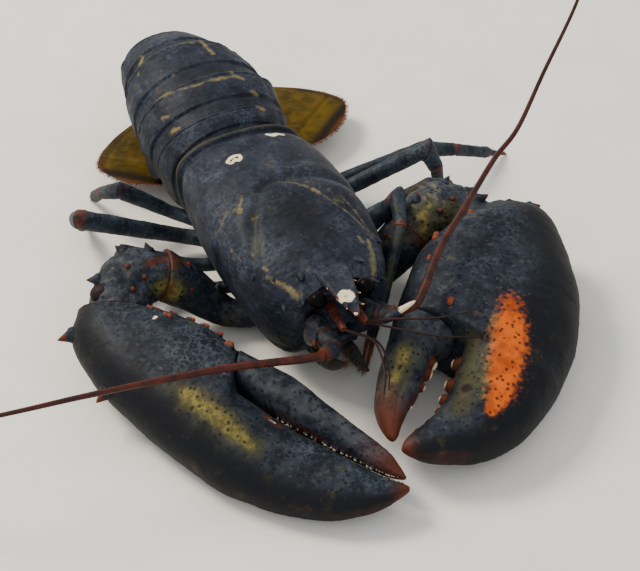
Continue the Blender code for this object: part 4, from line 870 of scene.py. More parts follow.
def plate_rings(joints, swell, drop, angles):
    """C-shaped rings of a tail plate: x = (half + swell)·|sin a|^0.9, depth = 0.62·thick·(1 - cos a) - swell.

    The side lobes hang drop below, with the belly between them.
    """
    y, z, slope, half, thick, drift = joints.T
    inward, _ = tail_axes(slope)
    half, thick, swell, drop = (values[:, None] for values in (half, thick, swell, drop))
    x = (half + swell) * np.sign(angles) * np.abs(np.sin(angles)) ** 0.9
    depth = thick * 0.62 * (1.0 - np.cos(angles)) - swell
    turn = np.linspace(0.0, np.pi, 9)[1:-1]
    lobe = thick + drop * 0.75
    fall = ramp(np.linspace(0.0, 1.0, 8), 0.0, 1.0)[1:]
    side_x = x[:, -1:] + (half * 0.90 - x[:, -1:]) * fall
    side_depth = depth[:, -1:] + (lobe - depth[:, -1:]) * np.linspace(0.0, 1.0, 8)[1:]
    edge_x = half * (0.82 + 0.08 * np.cos(turn))
    edge_depth = lobe + 0.8 * np.sin(turn)
    notch_x = half * np.linspace(0.74, 0.66, 5)
    notch_depth = lobe - 1.0 + (thick - lobe + 1.0) * np.linspace(0.0, 1.0, 5)
    belly_x = half * np.linspace(0.62, -0.62, 21)
    belly_depth = thick * (1.0 - (1.0 - BELLY_SINK) * np.cos(np.linspace(-1.0, 1.0, 21) * np.pi / 2))
    lobe_x = np.concatenate([side_x, edge_x, notch_x], axis=1)
    lobe_depth = np.concatenate([side_depth, edge_depth, notch_depth], axis=1)
    across = np.concatenate([x, lobe_x, belly_x, -lobe_x[:, ::-1]], axis=1)
    down = np.concatenate([depth, lobe_depth, belly_depth, lobe_depth[:, ::-1]], axis=1)
    origin = np.stack([drift, y, z], axis=-1)
    return origin[:, None] + across[..., None] * SIDEWAYS + down[..., None] * inward[:, None]


def make_plate(number):
    """One tail plate: a low front third that runs under the plate before it, a raised back with a rolled
    edge."""
    first, last = np.array(ABDOMEN_JOINTS[number - 1 : number + 1])
    t = np.concatenate([np.linspace(-0.10, 0.28, 22)[:-1], np.linspace(0.28, 1.0, 58)])
    joints = first + np.clip(t, -0.2, 1.0)[:, None] * (last - first)
    place, stands, lobe = np.array(PLATE_PROFILE).T
    risen = (PLATE_STEP + 0.1) * ramp(t, 0.30, 0.36) + 0.25 * ramp(t, 0.36, 0.6)
    front = -PLATE_STEP + np.where(t < 0.0, 8.0 * t, risen)
    swell = np.where(t < 0.6, front, np.interp(t, place, stands))
    swell += 0.35 * hump(t, 0.955, 0.03) - 0.25 * hump(t, 0.90, 0.02)
    drop = PLEURON_DROP[number - 1] * eased(np.clip(t, 0.0, 1.0), place, lobe)
    angles = np.linspace(-1.0, 1.0, 120) * math.radians(96)
    rings = plate_rings(joints, swell, drop, angles)
    belly = rings.shape[1] - len(angles)
    arched = np.pad(np.ones(len(angles)), (0, belly))
    crown = np.pad(np.abs(np.degrees(angles)), (0, belly))
    back = ramp(t, 0.34, 0.42)[:, None] * arched
    relief = 0.30 * worn(rings, 11.0, 40 + number) + 0.09 * lumps(rings, 1.3, 50 + number)
    relief += back * (0.4 * hump(crown, 62.0, 7.0) - 0.35 * hump(crown, 52.0, 3.5))
    rings = raised(rings, relief * (0.25 + 0.75 * arched))
    rim = hump(t, 0.985, 0.025)[:, None] * arched
    seam = hump(t, 0.33, 0.04)[:, None] * arched * ramp(worn(rings, 5.0, 60 + number), 0.0, 0.5)
    # The low front of each plate, where it runs under the plate before it, is darkened as painted shade
    front = (1.0 - ramp(t, 0.2, 0.34))[:, None] * arched
    olive = np.maximum(0.6 * rim, 0.35 * (1.0 - arched))
    marks = {"tan": 0.35 * seam, "olive": olive, "rust": 0.25 * rim, "dark": 0.4 * front}
    marks = patched(rings, marks, BACK_PATCHES)
    lip = turned_in(rings[-1], (0.985, 0.955), (0.15, -0.5), tail_axes(last[2])[1])
    marks = {name: np.pad(strength, ((0, len(lip)), (0, 0)), mode="edge") for name, strength in marks.items()}
    return skin(np.concatenate([rings, lip]), marks)


def make_swimmerets(number):
    """The pair of leaf-like paddles under one plate: rounded outline sin(πt)^0.7, bent back along the
    curl."""
    first, last = np.array(ABDOMEN_JOINTS[number - 1 : number + 1])
    y, z, slope, half, thick, drift = (first + last) / 2
    inward, backward = tail_axes(np.float64(slope))
    length = SWIMMERET_LENGTHS[number]
    t = np.linspace(0.0, 1.0, 40)
    made = []
    for side in (-1, 1):
        root = np.array([drift + side * half * SWIMMERET_PLACE, y, z]) + inward * (thick - SWIMMERET_SUNK)
        way = unit(inward + 0.25 * backward)
        path = root + np.outer(t * (length + SWIMMERET_SUNK), way)
        wide = 1.3 + 3.0 * np.sin(np.pi * np.clip(t, 0.0, 0.97) ** 1.4) ** 0.7
        thin = 0.9 * (1.0 - 0.6 * t)
        cos_side, sin_side = oval(28)
        rings = path[:, None] + (wide[:, None] * cos_side)[..., None] * SIDEWAYS
        rings = rings + (thin[:, None] * sin_side)[..., None] * np.cross(way, SIDEWAYS)
        made.append(skin(rings, {"olive": 0.7, "rust": 0.5 * ramp(t, 0.7, 1.0)[:, None]}))
    return made


def blade_places(t, outline):
    """Width and thickness shares of a tail blade along t, rounded at its end by √(1 - ((t - 0.93)/0.07)²)."""
    place, wide, flat = np.array(outline).T
    end = np.sqrt(np.clip(1.0 - ((t - 0.93) / 0.0701) ** 2, 0.0, 1.0))
    rounding = np.where(t > 0.93, end, 1.0)
    return eased(t, place, wide) * rounding, np.interp(t, place, flat) * (0.35 + 0.65 * rounding)


def make_blade(number, root, heading, length, half_width, thick, lift, outline, plane):
    """One blade of the tail fan, a squared oval carried straight out: ribs, fine rays and a thin edge.

    Gives its skin and, for its fringe, the roots, outward ways, lengths and unwrap places of its hairs.
    """
    turn = math.radians(heading)
    along = np.array([math.sin(turn), -math.cos(turn), 0.0])
    across = np.array([math.cos(turn), math.sin(turn), 0.0])
    t = np.concatenate([np.linspace(0.0, 0.9, 76)[:-1], np.linspace(0.9, 1.0, 20)])
    wide, flat = blade_places(t, outline)
    cos_side, sin_side = oval(88, BLADE_CORNERS)
    inside = np.abs(cos_side)
    centre = root + np.outer(length * t, along) + np.outer(lift * t, UP)
    height = np.outer(thick * flat / 2, sin_side * (0.35 + 0.65 * (1.0 - inside**3)))
    out = (half_width * wide[:, None] * cos_side)[..., None] * across
    rings = centre[:, None] + out + height[..., None] * UP
    first = rings[0] + ((plane[0] - rings[0]) @ plane[1] / (AHEAD @ plane[1]))[:, None] * AHEAD
    down = t[:, None]
    rings = rings + (first - rings[0]) * (1.0 - ramp(down, 0.0, 0.12))[..., None]
    relief = 0.07 * np.sin(cos_side * 34.0) * ramp(down, 0.15, 0.4) * wide[:, None] ** 2
    relief = relief + 0.55 * hump(cos_side, 0.0, 0.12) * (1.0 - ramp(down, 0.55, 0.9))
    relief = relief + 0.18 * hump(inside, 0.5, 0.07) * (1.0 - ramp(down, 0.6, 0.85))
    relief = relief + 0.14 * worn(rings, 6.0, 70 + number)
    if outline is OUTER_OUTLINE:
        relief = relief - 0.3 * hump(down, 0.735, 0.012) + 0.2 * hump(down, 0.70, 0.02)
    face = np.sign(sin_side) * ramp(np.abs(sin_side), 0.1, 0.5)
    rings = rings + (relief * face)[..., None] * UP
    edge = np.maximum(hump(inside, 1.0, 0.10) * ramp(down, 0.3, 0.6), ramp(down, 0.93, 1.0))
    dark = np.maximum(0.6 * hump(inside, 0.9, 0.1), hump(down, 0.93, 0.06))
    marks = {"ember": 0.40 * edge * ramp(down, 0.45, 0.9),
             "dark": 0.9 * dark * ramp(down, 0.2, 0.5) + 0.4 * (1.0 - ramp(down, 0.0, 0.3)),
             "yellow": 0.35 * ramp(worn(rings, 9.0, 80 + number), 0.1, 0.7)}
    return skin(rings, marks), blade_fringe(number, t, half_width * wide, centre, along, across)


def blade_fringe(number, t, half, centre, along, across):
    """Hairs round a blade's edge: evenly spread over its outline, pointing out of it in the blade's plane."""
    rng = np.random.default_rng(300 + number)
    left, right = centre - np.outer(half * 0.985, across), centre + np.outer(half * 0.985, across)
    outline = np.concatenate([left[34:], right[34:][::-1]])
    spots = np.concatenate([t[34:] * 0.5, 1.0 - t[34:][::-1] * 0.5])
    reach = reach_along(outline)
    count = int(reach[-1] / 0.11)
    where = np.sort(rng.uniform(0.0, reach[-1], count))
    roots = read_along(where, reach, outline)
    ways = unit(np.cross(read_along(where, reach, unit(np.gradient(outline, axis=0))), UP))
    ways = ways * np.sign(((roots - centre.mean(axis=0)) * ways).sum())
    ways = unit(ways + 0.35 * along + rng.normal(0.0, 0.10, ways.shape) * [1.0, 1.0, 0.6])
    rise = rng.uniform(-0.35, 0.35, count)
    roots[:, 2] += rise
    rear = (roots - centre[0]) @ along / np.linalg.norm(centre[-1] - centre[0])
    lengths = rng.uniform(1.2, 2.0, count) * (0.20 + 0.80 * ramp(rear, 0.45, 0.9))
    places = np.stack([(number + np.interp(where, reach, spots) * 0.94 + 0.03) / 6.0, 0.5 + rise], axis=1)
    return roots, ways, lengths, places


def make_tail_fan():
    """The telson and its four blades laid on the floor: for each node its skin and its hairs."""
    y, z, slope = ABDOMEN_JOINTS[-1][:3]
    _, backward = tail_axes(np.float64(slope))
    plane = shifted((np.array([FAN_MIDDLE, y, z]), backward), GAP)
    root = np.array([FAN_MIDDLE, y - 5.0, FAN_BLADES["telson"][4] / 2 - GAP])
    made = {}
    for number, (kind, side, ending) in enumerate(FAN_ORDER):
        place, heading, *sizes = FAN_BLADES[kind]
        start = root + np.array([side, 1.0, 1.0]) * place
        made[kind + ending] = make_blade(number, start, side * heading, *sizes, plane)
    return made


def belly_height(ahead):
    """Height of the flat underside of the shield at a distance ahead of its back edge."""
    stations, _, _, hem = np.array(CARAPACE_STATIONS).T
    sweep = GROOVE_SWEEP * np.sin(np.pi * stations / CARAPACE_LENGTH) ** 0.8
    return float(np.interp(ahead, stations + sweep, hem)) - GAP


def hip(side, ahead):
    """Middle of the keel's sloped side at a leg base, with that side's outward normal."""
    top = belly_height(ahead)
    middle = np.array([side * (STERNUM_TOP_HALF + STERNUM_FOOT_HALF) / 2, -ahead, top - STERNUM_DEPTH / 2])
    slope = np.array([side * (STERNUM_TOP_HALF - STERNUM_FOOT_HALF), 0.0, STERNUM_DEPTH])
    run = np.array([0.0, -1.0, (belly_height(ahead + 5.0) - belly_height(ahead - 3.0)) / 8.0])
    normal = unit(np.cross(slope, run))
    return middle, normal * (1.0 if normal[0] * side > 0 else -1.0)


def segment(path, sizes, flat, sides, seed, start=None, end=None, grain=0.12, joints=(0.12, 0.12)):
    """One limb segment: rings flared by joints·exp(-(distance to the end / 2.4)²), with lumps and end
    marks."""
    before = reach_along(path)
    after = before[-1] - before
    flared = sizes * (1.0 + joints[0] * hump(before, 1.0, 2.2) + joints[1] * hump(after, 1.2, 2.4))
    rings = limb_rings(path, flared * flat, flared, sides, start, end, power=2.15)
    rings = raised(rings, grain * lumps(rings, 1.5, seed) + 0.25 * worn(rings, 8.0, seed + 3))
    patchy = ramp(worn(rings, 4.5, seed + 6), -0.35, 0.35)
    near_end = hump(after, 0.0, 3.4)[:, None] * (0.35 + 0.65 * patchy)
    near_start = hump(before, 0.0, 2.4)[:, None] * patchy
    marks = {"ember": np.maximum(0.62 * near_end, 0.35 * near_start),
             "olive": 0.75 * ramp(worn(rings, 9.0, seed + 9), 0.05, 0.7)}
    return rings, marks


def make_leg(side, number, ahead, points, radius):
    """One walking leg: three segments, soft joints between them, a horny tip, and a thumb on pairs 1 and
    2."""
    base, out = hip(side, ahead)
    start = base + out * GAP
    elbow, knee, wrist, foot = (np.array(point, float) for point in points)
    knee_plane = joint_plane(elbow, knee, wrist)
    wrist_plane = joint_plane(knee, wrist, foot)
    seed = 400 + number * 20 + (side > 0) * 7
    thigh_path = smooth_path([start, elbow, elbow * 0.45 + knee * 0.55, knee], 96)
    thigh, marks = segment(thigh_path, radius * smooth_row(THIGH_SIZES, 96), LEG_NARROWING, 40, seed,
                           (start, out), shifted(knee_plane, -GAP / 2), joints=(-0.05, 0.13))
    merus = [skin(thigh, marks), ball(knee, np.full(3, radius * 0.80), {"ember": 0.7, "olive": 0.4})]
    shin_path = knee + np.outer(np.linspace(0.0, 1.0, 48), wrist - knee)
    shin, marks = segment(shin_path, radius * smooth_row(SHIN_SIZES, 48), LEG_NARROWING, 40, seed + 1,
                          shifted(knee_plane, GAP / 2), shifted(wrist_plane, -GAP / 2))
    carpus = [skin(shin, marks), ball(wrist, np.full(3, radius * 0.62), {"ember": 0.7})]
    way = foot - wrist
    t = np.linspace(0.0, 0.64, 70)
    slim = radius * eased(t, FOOT_PLACES, FOOT_SIZES)
    shank, marks = segment(wrist + np.outer(t, way), slim, LEG_NARROWING, 36, seed + 2,
                           shifted(wrist_plane, GAP / 2), joints=(0.06, 0.16))
    claw_t = np.linspace(0.60, 1.0, 60)
    hooked = radius * np.interp(claw_t, (0.60, 0.64, 0.85, 0.97, 1.0), (0.46, 0.50, 0.30, 0.17, 0.05))
    nail = limb_rings(wrist + np.outer(claw_t, way), hooked * 0.85, hooked, 28)
    horn = ramp(claw_t, 0.66, 0.95)[:, None]
    rust = 0.9 * ramp(claw_t, 0.8, 1.0)[:, None]
    propodus = [skin(shank, marks), skin(nail, {"ember": 0.75 * horn, "rust": rust})]
    if number in PINCER_PAIRS:
        apart = unit(np.cross(way, UP)) * radius
        places = smooth_row(THUMB_PLACES, 50)
        path = wrist + np.outer(places, way) + np.outer(smooth_row(THUMB_OFFSETS, 50), apart)
        size = radius * smooth_row(THUMB_SIZES, 50)
        thumb = limb_rings(path, size * 0.9, size, 28)
        propodus.append(skin(thumb, {"ember": 0.8 * ramp(places, 0.62, 0.9)[:, None]}))
    hairs = leg_hairs(number + (side > 0) * 4, wrist, way, radius)
    return {"merus": merus, "carpus": carpus, "propodus": propodus}, hairs


def leg_hairs(row, wrist, way, radius):
    """Tufts of bristles in rows along the last two segments of a leg, leaning toward its tip."""
    rng = np.random.default_rng(500 + row)
    count = 150
    t = np.sort(rng.uniform(0.42, 0.95, count))
    side = unit(np.cross(way, UP))
    over = np.cross(side, unit(way))
    turn = rng.choice([0.35, 1.4, 2.8, 4.0, 5.2], count) + rng.normal(0.0, 0.12, count)
    out = np.cos(turn)[:, None] * side + np.sin(turn)[:, None] * over
    size = radius * np.interp(t, FOOT_PLACES, FOOT_SIZES)
    roots = wrist + np.outer(t, way) + out * (size * 0.80)[:, None]
    ways = unit(out * 0.55 + unit(way) + rng.normal(0.0, 0.12, out.shape))
    lengths = rng.uniform(1.3, 2.4, count)
    places = np.stack([(row + t * 0.94) / 12.0, turn / (2.0 * np.pi)], axis=1)
    keep = roots[:, 2] + np.minimum(ways[:, 2], 0.0) * lengths > 0.2
    return roots[keep], ways[keep], lengths[keep], places[keep]


def hair_mesh(hairs, half_width):
    """Points, quads, triangles and unwrap places of hairs: thin curved cones of 5 rings by 3 sides and a tip.

    A hair's patch is 0.003 across, at the place of its root on the unwrap of the shell under it.
    """
    roots, ways, lengths, places = (np.concatenate(rows) for rows in zip(*hairs))
    count = len(roots)
    rows, sides = 5, 3
    t = np.linspace(-0.12, 0.86, rows)
    rng = np.random.default_rng(900)
    across = unit(np.cross(ways, UP + rng.normal(0.0, 0.3, ways.shape)))
    over = np.cross(ways, across)
    bend = rng.normal(0.0, 0.16, (count, 1)) * across + rng.normal(-0.05, 0.06, (count, 1)) * UP
    cos_side, sin_side = oval(sides)
    middle = roots[:, None] + (lengths[:, None] * t)[..., None] * ways[:, None]
    middle = middle + (lengths[:, None] * np.clip(t, 0.0, 1.0) ** 2)[..., None] * bend[:, None]
    radius = half_width * (1.0 - np.clip(t, 0.0, 1.0)) ** 0.6
    round_it = cos_side[:, None] * across[:, None] + sin_side[:, None] * over[:, None]
    rings = middle[:, :, None] + radius[None, :, None, None] * round_it[:, None]
    tips = roots + lengths[:, None] * (ways + bend)
    points = np.concatenate([rings.reshape(-1, 3), tips])
    index = np.arange(count * rows * sides).reshape(count, rows, sides)
    after = np.roll(index, -1, axis=2)
    quads = np.stack([index[:, :-1], after[:, :-1], after[:, 1:], index[:, 1:]], axis=-1).reshape(-1, 4)
    tip = np.broadcast_to((count * rows * sides + np.arange(count))[:, None], (count, sides))
    ends = np.stack([index[:, -1], after[:, -1], tip], axis=-1).reshape(-1, 3)
    base = index[:, 0, ::-1]
    quads, triangles = facing_out(points, quads, np.concatenate([ends, base]))
    spread = np.meshgrid(np.linspace(0.0, 0.8, rows), np.linspace(0.0, 0.8, sides), indexing="ij")
    places = np.clip(places, 0.0, 0.996)
    unwrap = (places[:, None, None] + HAIR_PATCH * np.stack(spread, axis=-1)).reshape(-1, 2)
    unwrap = np.concatenate([unwrap, places + HAIR_PATCH])
    return points, quads, triangles, unwrap


def add_hairs(name, hairs, half_width, finish):
    """One piece of hairs with its unwrap kept as the UV map OFBake."""
    points, quads, triangles, unwrap = hair_mesh(hairs, half_width)
    made = add_mesh(name, points, quads, triangles, finish, ())
    corner = np.empty(len(made.data.loops), np.int32)
    made.data.loops.foreach_get("vertex_index", corner)
    layer = made.data.uv_layers.new(name="OFBake")
    layer.data.foreach_set("uv", unwrap[corner].astype(np.float32).ravel())
    return made


def claw_frame(root, tip, roll, side):
    """Origin and the along, inward and over directions of a claw; roll lifts the inner edge."""
    along = unit(tip - root)
    inward = unit(np.cross(along, UP)) * side
    over = np.cross(along, inward) * side
    over = over * (1.0 if over[2] > 0 else -1.0)
    sin_roll, cos_roll = math.sin(math.radians(roll)), math.cos(math.radians(roll))
    return root, along, inward * cos_roll + over * sin_roll, over * cos_roll - inward * sin_roll


def claw_way(claw, flat, rise=0.0):
    """A direction given in the claw's own plane, (along, inward), with a rise over it."""
    _, along, inward, over = claw
    return flat[0] * along + flat[1] * inward + rise * over


def claw_point(claw, flat, rise=0.0):
    """The place of a point of the claw's own plane, at a height over it."""
    return claw[0] + claw_way(claw, flat, rise)


def claw_rings(claw, shape, part, count, sides=112):
    """Rings from the outer edge to the inner one: middle + half span·cos^(2/2.3) + height·sin^(2/2.3).

    A finger's tip is fuller by up to the shape's blunt mm, rounded by √(1 - ((t - 0.92)/0.08)²).
    """
    origin, along, inward, over = claw
    near, far = (smooth_path(shape[f"{part}_{edge}"], count) for edge in ("outer", "inner"))
    heights = shape[f"{part}_heights"]
    t = np.linspace(0.0, 1.0, count)
    straight = np.interp(t, np.linspace(0.0, 1.0, len(heights)), heights)
    thick = 0.5 * straight + 0.5 * smooth_row(heights, count)
    rounding = np.where(t > 0.92, np.sqrt(np.clip(1.0 - ((t - 0.92) / 0.0801) ** 2, 0.0, 1.0)), 1.0)
    fuller = (0.0 if part == "palm" else shape["blunt"]) * ramp(t, 0.6, 0.92) * rounding
    far = far + fuller[:, None] * unit(far - near)
    near = near - fuller[:, None] * unit(far - near)
    thick = thick + 0.8 * fuller
    cos_side, sin_side = oval(sides, CLAW_CORNERS)
    flat = ((near + far) / 2)[:, None] + cos_side[:, None] * ((far - near) / 2)[:, None]
    level = origin + flat[..., :1] * along + flat[..., 1:] * inward
    return level + (thick[:, None] * sin_side)[..., None] * over


def claw_relief(rings, seed):
    """Height of the claw's skin: broad swellings, small lumps and grains."""
    broad, small = worn(rings, 24.0, seed), worn(rings, 5.0, seed + 4)
    return 0.75 * broad + 0.20 * small + 0.10 * lumps(rings, 1.5, seed + 8)


def claw_marks(rings, across, rise, tips, seed, patches):
    """Coloured patches of a claw: mottles, dark outer side, rusty edge and tips, and its own blotches."""
    mottle = worn(rings, 9.0, seed + 20)
    inner, below, outer = ramp(across, 0.45, 0.98), ramp(-rise, -0.25, 0.5), ramp(-across, 0.05, 0.80)
    marks = {
        "olive": 0.42 * ramp(mottle + 0.35 * inner, 0.15, 0.75) * (1.0 - 0.7 * outer),
        # dark is partly painted shade, darkening each claw's outer side as if it lay in shadow, and partly
        # the shell's own dark mottles
        "dark": np.clip(1.1 * outer + 0.35 * ramp(-mottle, 0.0, 0.6), 0.0, 1.0),
        "rust": np.clip(tips, 0.0, 1.0),
        "ember": 0.18 * below * ramp(worn(rings, 12.0, seed + 30), 0.0, 0.7),
    }
    return patched(rings, marks, patches)


def rusty_tips(biting, rim, horn):
    """The rust of a finger: its biting edge, its rim and its horny tip, whichever is strongest."""
    return np.maximum(np.maximum(0.62 * biting, rim), 0.9 * horn)


def biting_edge(across, rise):
    """A narrow band along the biting edge of a finger, round its rings."""
    return ramp(across, 0.80, 0.98) * ramp(0.45 - np.abs(rise), 0.0, 0.3)


def palm_knobs(claw, shape, table):
    """The blunt beads of a palm's inner edge, each made as twins, and its few outer spines."""
    edges = {edge: smooth_path(shape[edge], 101) for edge in ("palm_outer", "palm_inner")}
    heights = shape["palm_heights"]
    made = []
    for edge, shares, degrees, length, half_width in table:
        turn = math.radians(degrees)
        cos_side = math.cos(turn) ** (2.0 / CLAW_CORNERS)
        sin_side = math.sin(turn) ** (2.0 / CLAW_CORNERS)
        other = "palm_outer" if edge == "palm_inner" else "palm_inner"
        for share in shares:
            near, far = edges[edge][round(share * 100)], edges[other][round(share * 100)]
            rise = float(np.interp(share, np.linspace(0.0, 1.0, len(heights)), heights))
            root = claw_point(claw, (near + far) / 2 + (near - far) / 2 * cos_side, rise * sin_side)
            way = claw_way(claw, unit(near - far) * math.cos(turn) + np.array([0.25, 0.0]), math.sin(turn))
            if edge == "palm_outer":
                made.append(thorn(root, way, length, half_width, mark="rust", tipped=0.4))
                continue
            size = 0.75 + 0.5 * (share * 7.3 % 1.0)
            for shift in (-0.75, 0.75):
                twin = root + shift * size * claw_way(claw, (0.9, 0.3))
                made.append(thorn(twin, way, length * 0.4 * size, half_width * 0.5 * size, True, tipped=0.15))
    return made


def teeth_row(claw, edge, toward, plan, mark):
    """Blunt teeth along one finger's biting edge, smaller toward its tip; toward is 1 if they point
    inward."""
    start, end, count, length, half_width = plan
    curve = smooth_path(edge, 401)
    made = []
    rng = np.random.default_rng(count + toward)
    sizes = rng.uniform(0.4, 1.15, count)
    shares = np.linspace(start, end, count) + rng.uniform(-0.35, 0.35, count) * (end - start) / count
    for share, drawn in zip(shares, sizes):
        place = round(share * 400)
        run = curve[min(place + 8, 400)] - curve[max(place - 8, 0)]
        way = claw_way(claw, unit(np.array([-run[1], run[0]])) * toward)
        size = (1.0 - 0.5 * (share - start) / (end - start)) * drawn
        root = claw_point(claw, curve[place], TOOTH_RISE)
        made.append(thorn(root, way, length * size, half_width * size, True, 0.0, mark, -0.1, 0.9))
    return made


def make_palm(claw, shape, knobs, teeth, tooth_mark, patches, seed):
    """The palm with its fixed finger, knobs and teeth and the ball of its hinge, and the plane of its
    wrist end.

    Where the palm turns into the finger, the rings are eased to the mean of their neighbours, over and over.
    """
    palm, tip = claw_rings(claw, shape, "palm", 130), claw_rings(claw, shape, "fixed", 120)
    share = ramp(np.linspace(0.0, 1.0, 14), -0.1, 1.1)[1:-1, None, None]
    rings = np.concatenate([palm, palm[-1] * (1.0 - share) + tip[0] * share, tip])
    across, rise = oval(rings.shape[1])
    rows = np.arange(len(rings))[:, None]
    loose = (hump(rows, 136, 26) * (0.10 + 0.90 * ramp(-across, -0.75, -0.1)))[..., None]
    for _ in range(EASING_ROUNDS):
        between = (np.roll(rings, 1, axis=0) + np.roll(rings, -1, axis=0)) / 2
        rings = rings + 0.5 * loose * (between - rings)
    t = np.concatenate([np.zeros(len(rings) - len(tip)), np.linspace(0.0, 1.0, len(tip))])[:, None]
    rings = raised(rings, claw_relief(rings, seed) * np.minimum(1.0, (1.0 - t) * 6.0))
    rim = 0.30 * ramp(np.abs(across), 0.8, 0.97) * ramp(t, 0.2, 0.8)
    tips = rusty_tips(biting_edge(across, rise) * ramp(t, 0.02, 0.2), rim, ramp(t, 0.78, 1.04))
    made = [skin(rings, claw_marks(rings, across, rise, tips, seed, patches))]
    made += palm_knobs(claw, shape, knobs) + teeth_row(claw, shape["fixed_inner"], 1, teeth, tooth_mark)
    hinge = claw_point(claw, (np.array(shape["hinged_outer"][0]) + shape["hinged_inner"][0]) / 2 - [4.0, 0.0])
    made.append(ball(hinge, np.full(3, 7.5), {"maroon": 1.0}))
    return made, ring_plane(palm[0])


def make_finger(claw, shape, teeth, tooth_mark, patches, seed):
    """The hinged finger, with a shallow groove along both faces and its teeth."""
    rings = claw_rings(claw, shape, "hinged", 150, 96)
    across, rise = oval(rings.shape[1])
    t = np.linspace(0.0, 1.0, len(rings))[:, None]
    ending = np.minimum(1.0, (1.0 - t) * 6.0) * np.minimum(1.0, t * 12.0)
    groove = 0.8 * hump(across, 0.25, 0.12) * (np.abs(rise) > 0.5)
    rings = raised(rings, (claw_relief(rings, seed) - groove * hump(t, 0.5, 0.35)) * ending)
    rim = 0.45 * ramp(-across, 0.75, 0.97) * ramp(t, 0.1, 0.7)
    tips = rusty_tips(biting_edge(across, rise) * ramp(t, 0.1, 0.3), rim, ramp(t, 0.42, 1.04))
    marks = claw_marks(rings, -across, rise, tips, seed, patches)
    # The hinged finger keeps a quarter of the dark mark: of the painted shade on its side and of its dark
    # mottles
    marks["dark"] = 0.25 * marks["dark"]
    marks["slate"] = 0.85 * ramp(worn(rings, 6.0, seed + 10), -0.5, 0.5)
    return [skin(rings, marks)] + teeth_row(claw, shape["hinged_inner"], -1, teeth, tooth_mark)


def ring_plane(ring):
    """The plane of a ring, its normal pointing forward along the animal."""
    quarter = len(ring) // 4
    normal = unit(np.cross(ring[0] - ring[2 * quarter], ring[quarter] - ring[3 * quarter]))
    return ring.mean(axis=0), normal * (-1.0 if normal[1] > 0 else 1.0)


def limb_thorns(rings, table, side):
    """Spines on a limb, each at a share of its length and an angle from its front side over the top."""
    rows, sides, _ = rings.shape
    made = []
    for share, degrees, length, half_width in table:
        row = min(round(share * (rows - 1)), rows - 3)
        turn = degrees if side > 0 else 180.0 - degrees
        root = rings[row, round(turn / 360.0 * sides) % sides]
        middle = rings[row].mean(axis=0)
        along = unit(rings[row + 2].mean(axis=0) - middle)
        way = unit(root - middle) + SPINE_LEAN * along
        if degrees < 100.0:
            made.append(thorn(root, way, length * 0.42, half_width * 0.52, True, mark="rust", tipped=0.2))
        else:
            made.append(thorn(root, way, length * 0.75, half_width * 0.9, mark="rust", tipped=0.7))
    return made


def make_claw_arm(side, arm, middle, palm_plane, table, patches, seed):
    """The arm and the wrist that carry a claw, with the soft joint between them: two lists of skins."""
    base, out = hip(side, CLAW_HIP)
    start = base + out * GAP
    *_, elbow, waist = np.array(arm, float)
    waist_plane = joint_plane(elbow, waist, np.array(middle))
    path = smooth_path([start, *arm], 120)
    rings, marks = segment(path, smooth_row(ARM_SIZES, 120), 1.0 / ARM_FLATTENING, 64, seed, (start, out),
                           shifted(waist_plane, -GAP / 2), 0.14, (0.0, 0.04))
    rings[..., 2] = path[:, None, 2] + (rings[..., 2] - path[:, None, 2]) * 0.97
    marks["olive"] = 0.55 * ramp(worn(rings, 8.0, seed + 9), -0.1, 0.5)
    marks["rust"] = marks.pop("ember")
    marks = patched(rings, marks, patches)
    upper = [skin(rings, marks)] + limb_thorns(rings, ARM_SPINES, side)
    upper.append(ball(waist, np.full(3, 8.6), {"rust": 0.5}))
    path = smooth_path([waist, middle, palm_plane[0]], 110)
    rings = limb_rings(path, smooth_row(WRIST_HALF_WIDTHS, 110), smooth_row(WRIST_HALF_HEIGHTS, 110), 96,
                       shifted(waist_plane, GAP / 2), shifted(palm_plane, -GAP), 2.1)
    relief = 1.5 * worn(rings, 10.0, seed + 20) + 0.6 * lumps(rings, 3.8, seed + 24)
    rings = raised(rings, relief + 0.14 * lumps(rings, 1.4, seed + 27))
    vein = 0.16 - np.abs(worn(rings, 6.0, seed + 44))
    t = np.linspace(0.0, 1.0, 110)[:, None]
    marks = {"olive": 0.42 * ramp(worn(rings, 7.0, seed + 30), 0.0, 0.6),
             "tan": (0.25 if side < 0 else 0.52) * ramp(vein, 0.0, 0.16),
             "rust": 0.4 * (1.0 - ramp(t, 0.02, 0.10)) + 0.4 * ramp(t, 0.93, 1.0),
             "slate": (0.35 if side < 0 else 0.5) * ramp(worn(rings, 5.0, seed + 38), -0.3, 0.4),
             "dark": 0.3 * ramp(worn(rings, 8.0, seed + 36), -0.1, 0.5)}
    wrist = [skin(rings, patched(rings, marks, patches))] + limb_thorns(rings, table, side)
    # The near-black ball at the outer end of the right wrist fills its hollow with painted shade
    if side < 0:
        wrist.append(ball((-80.0, -50.0, 31.5), (6.4, 5.2, 4.4), {"maroon": 1.0}))
    return upper, wrist


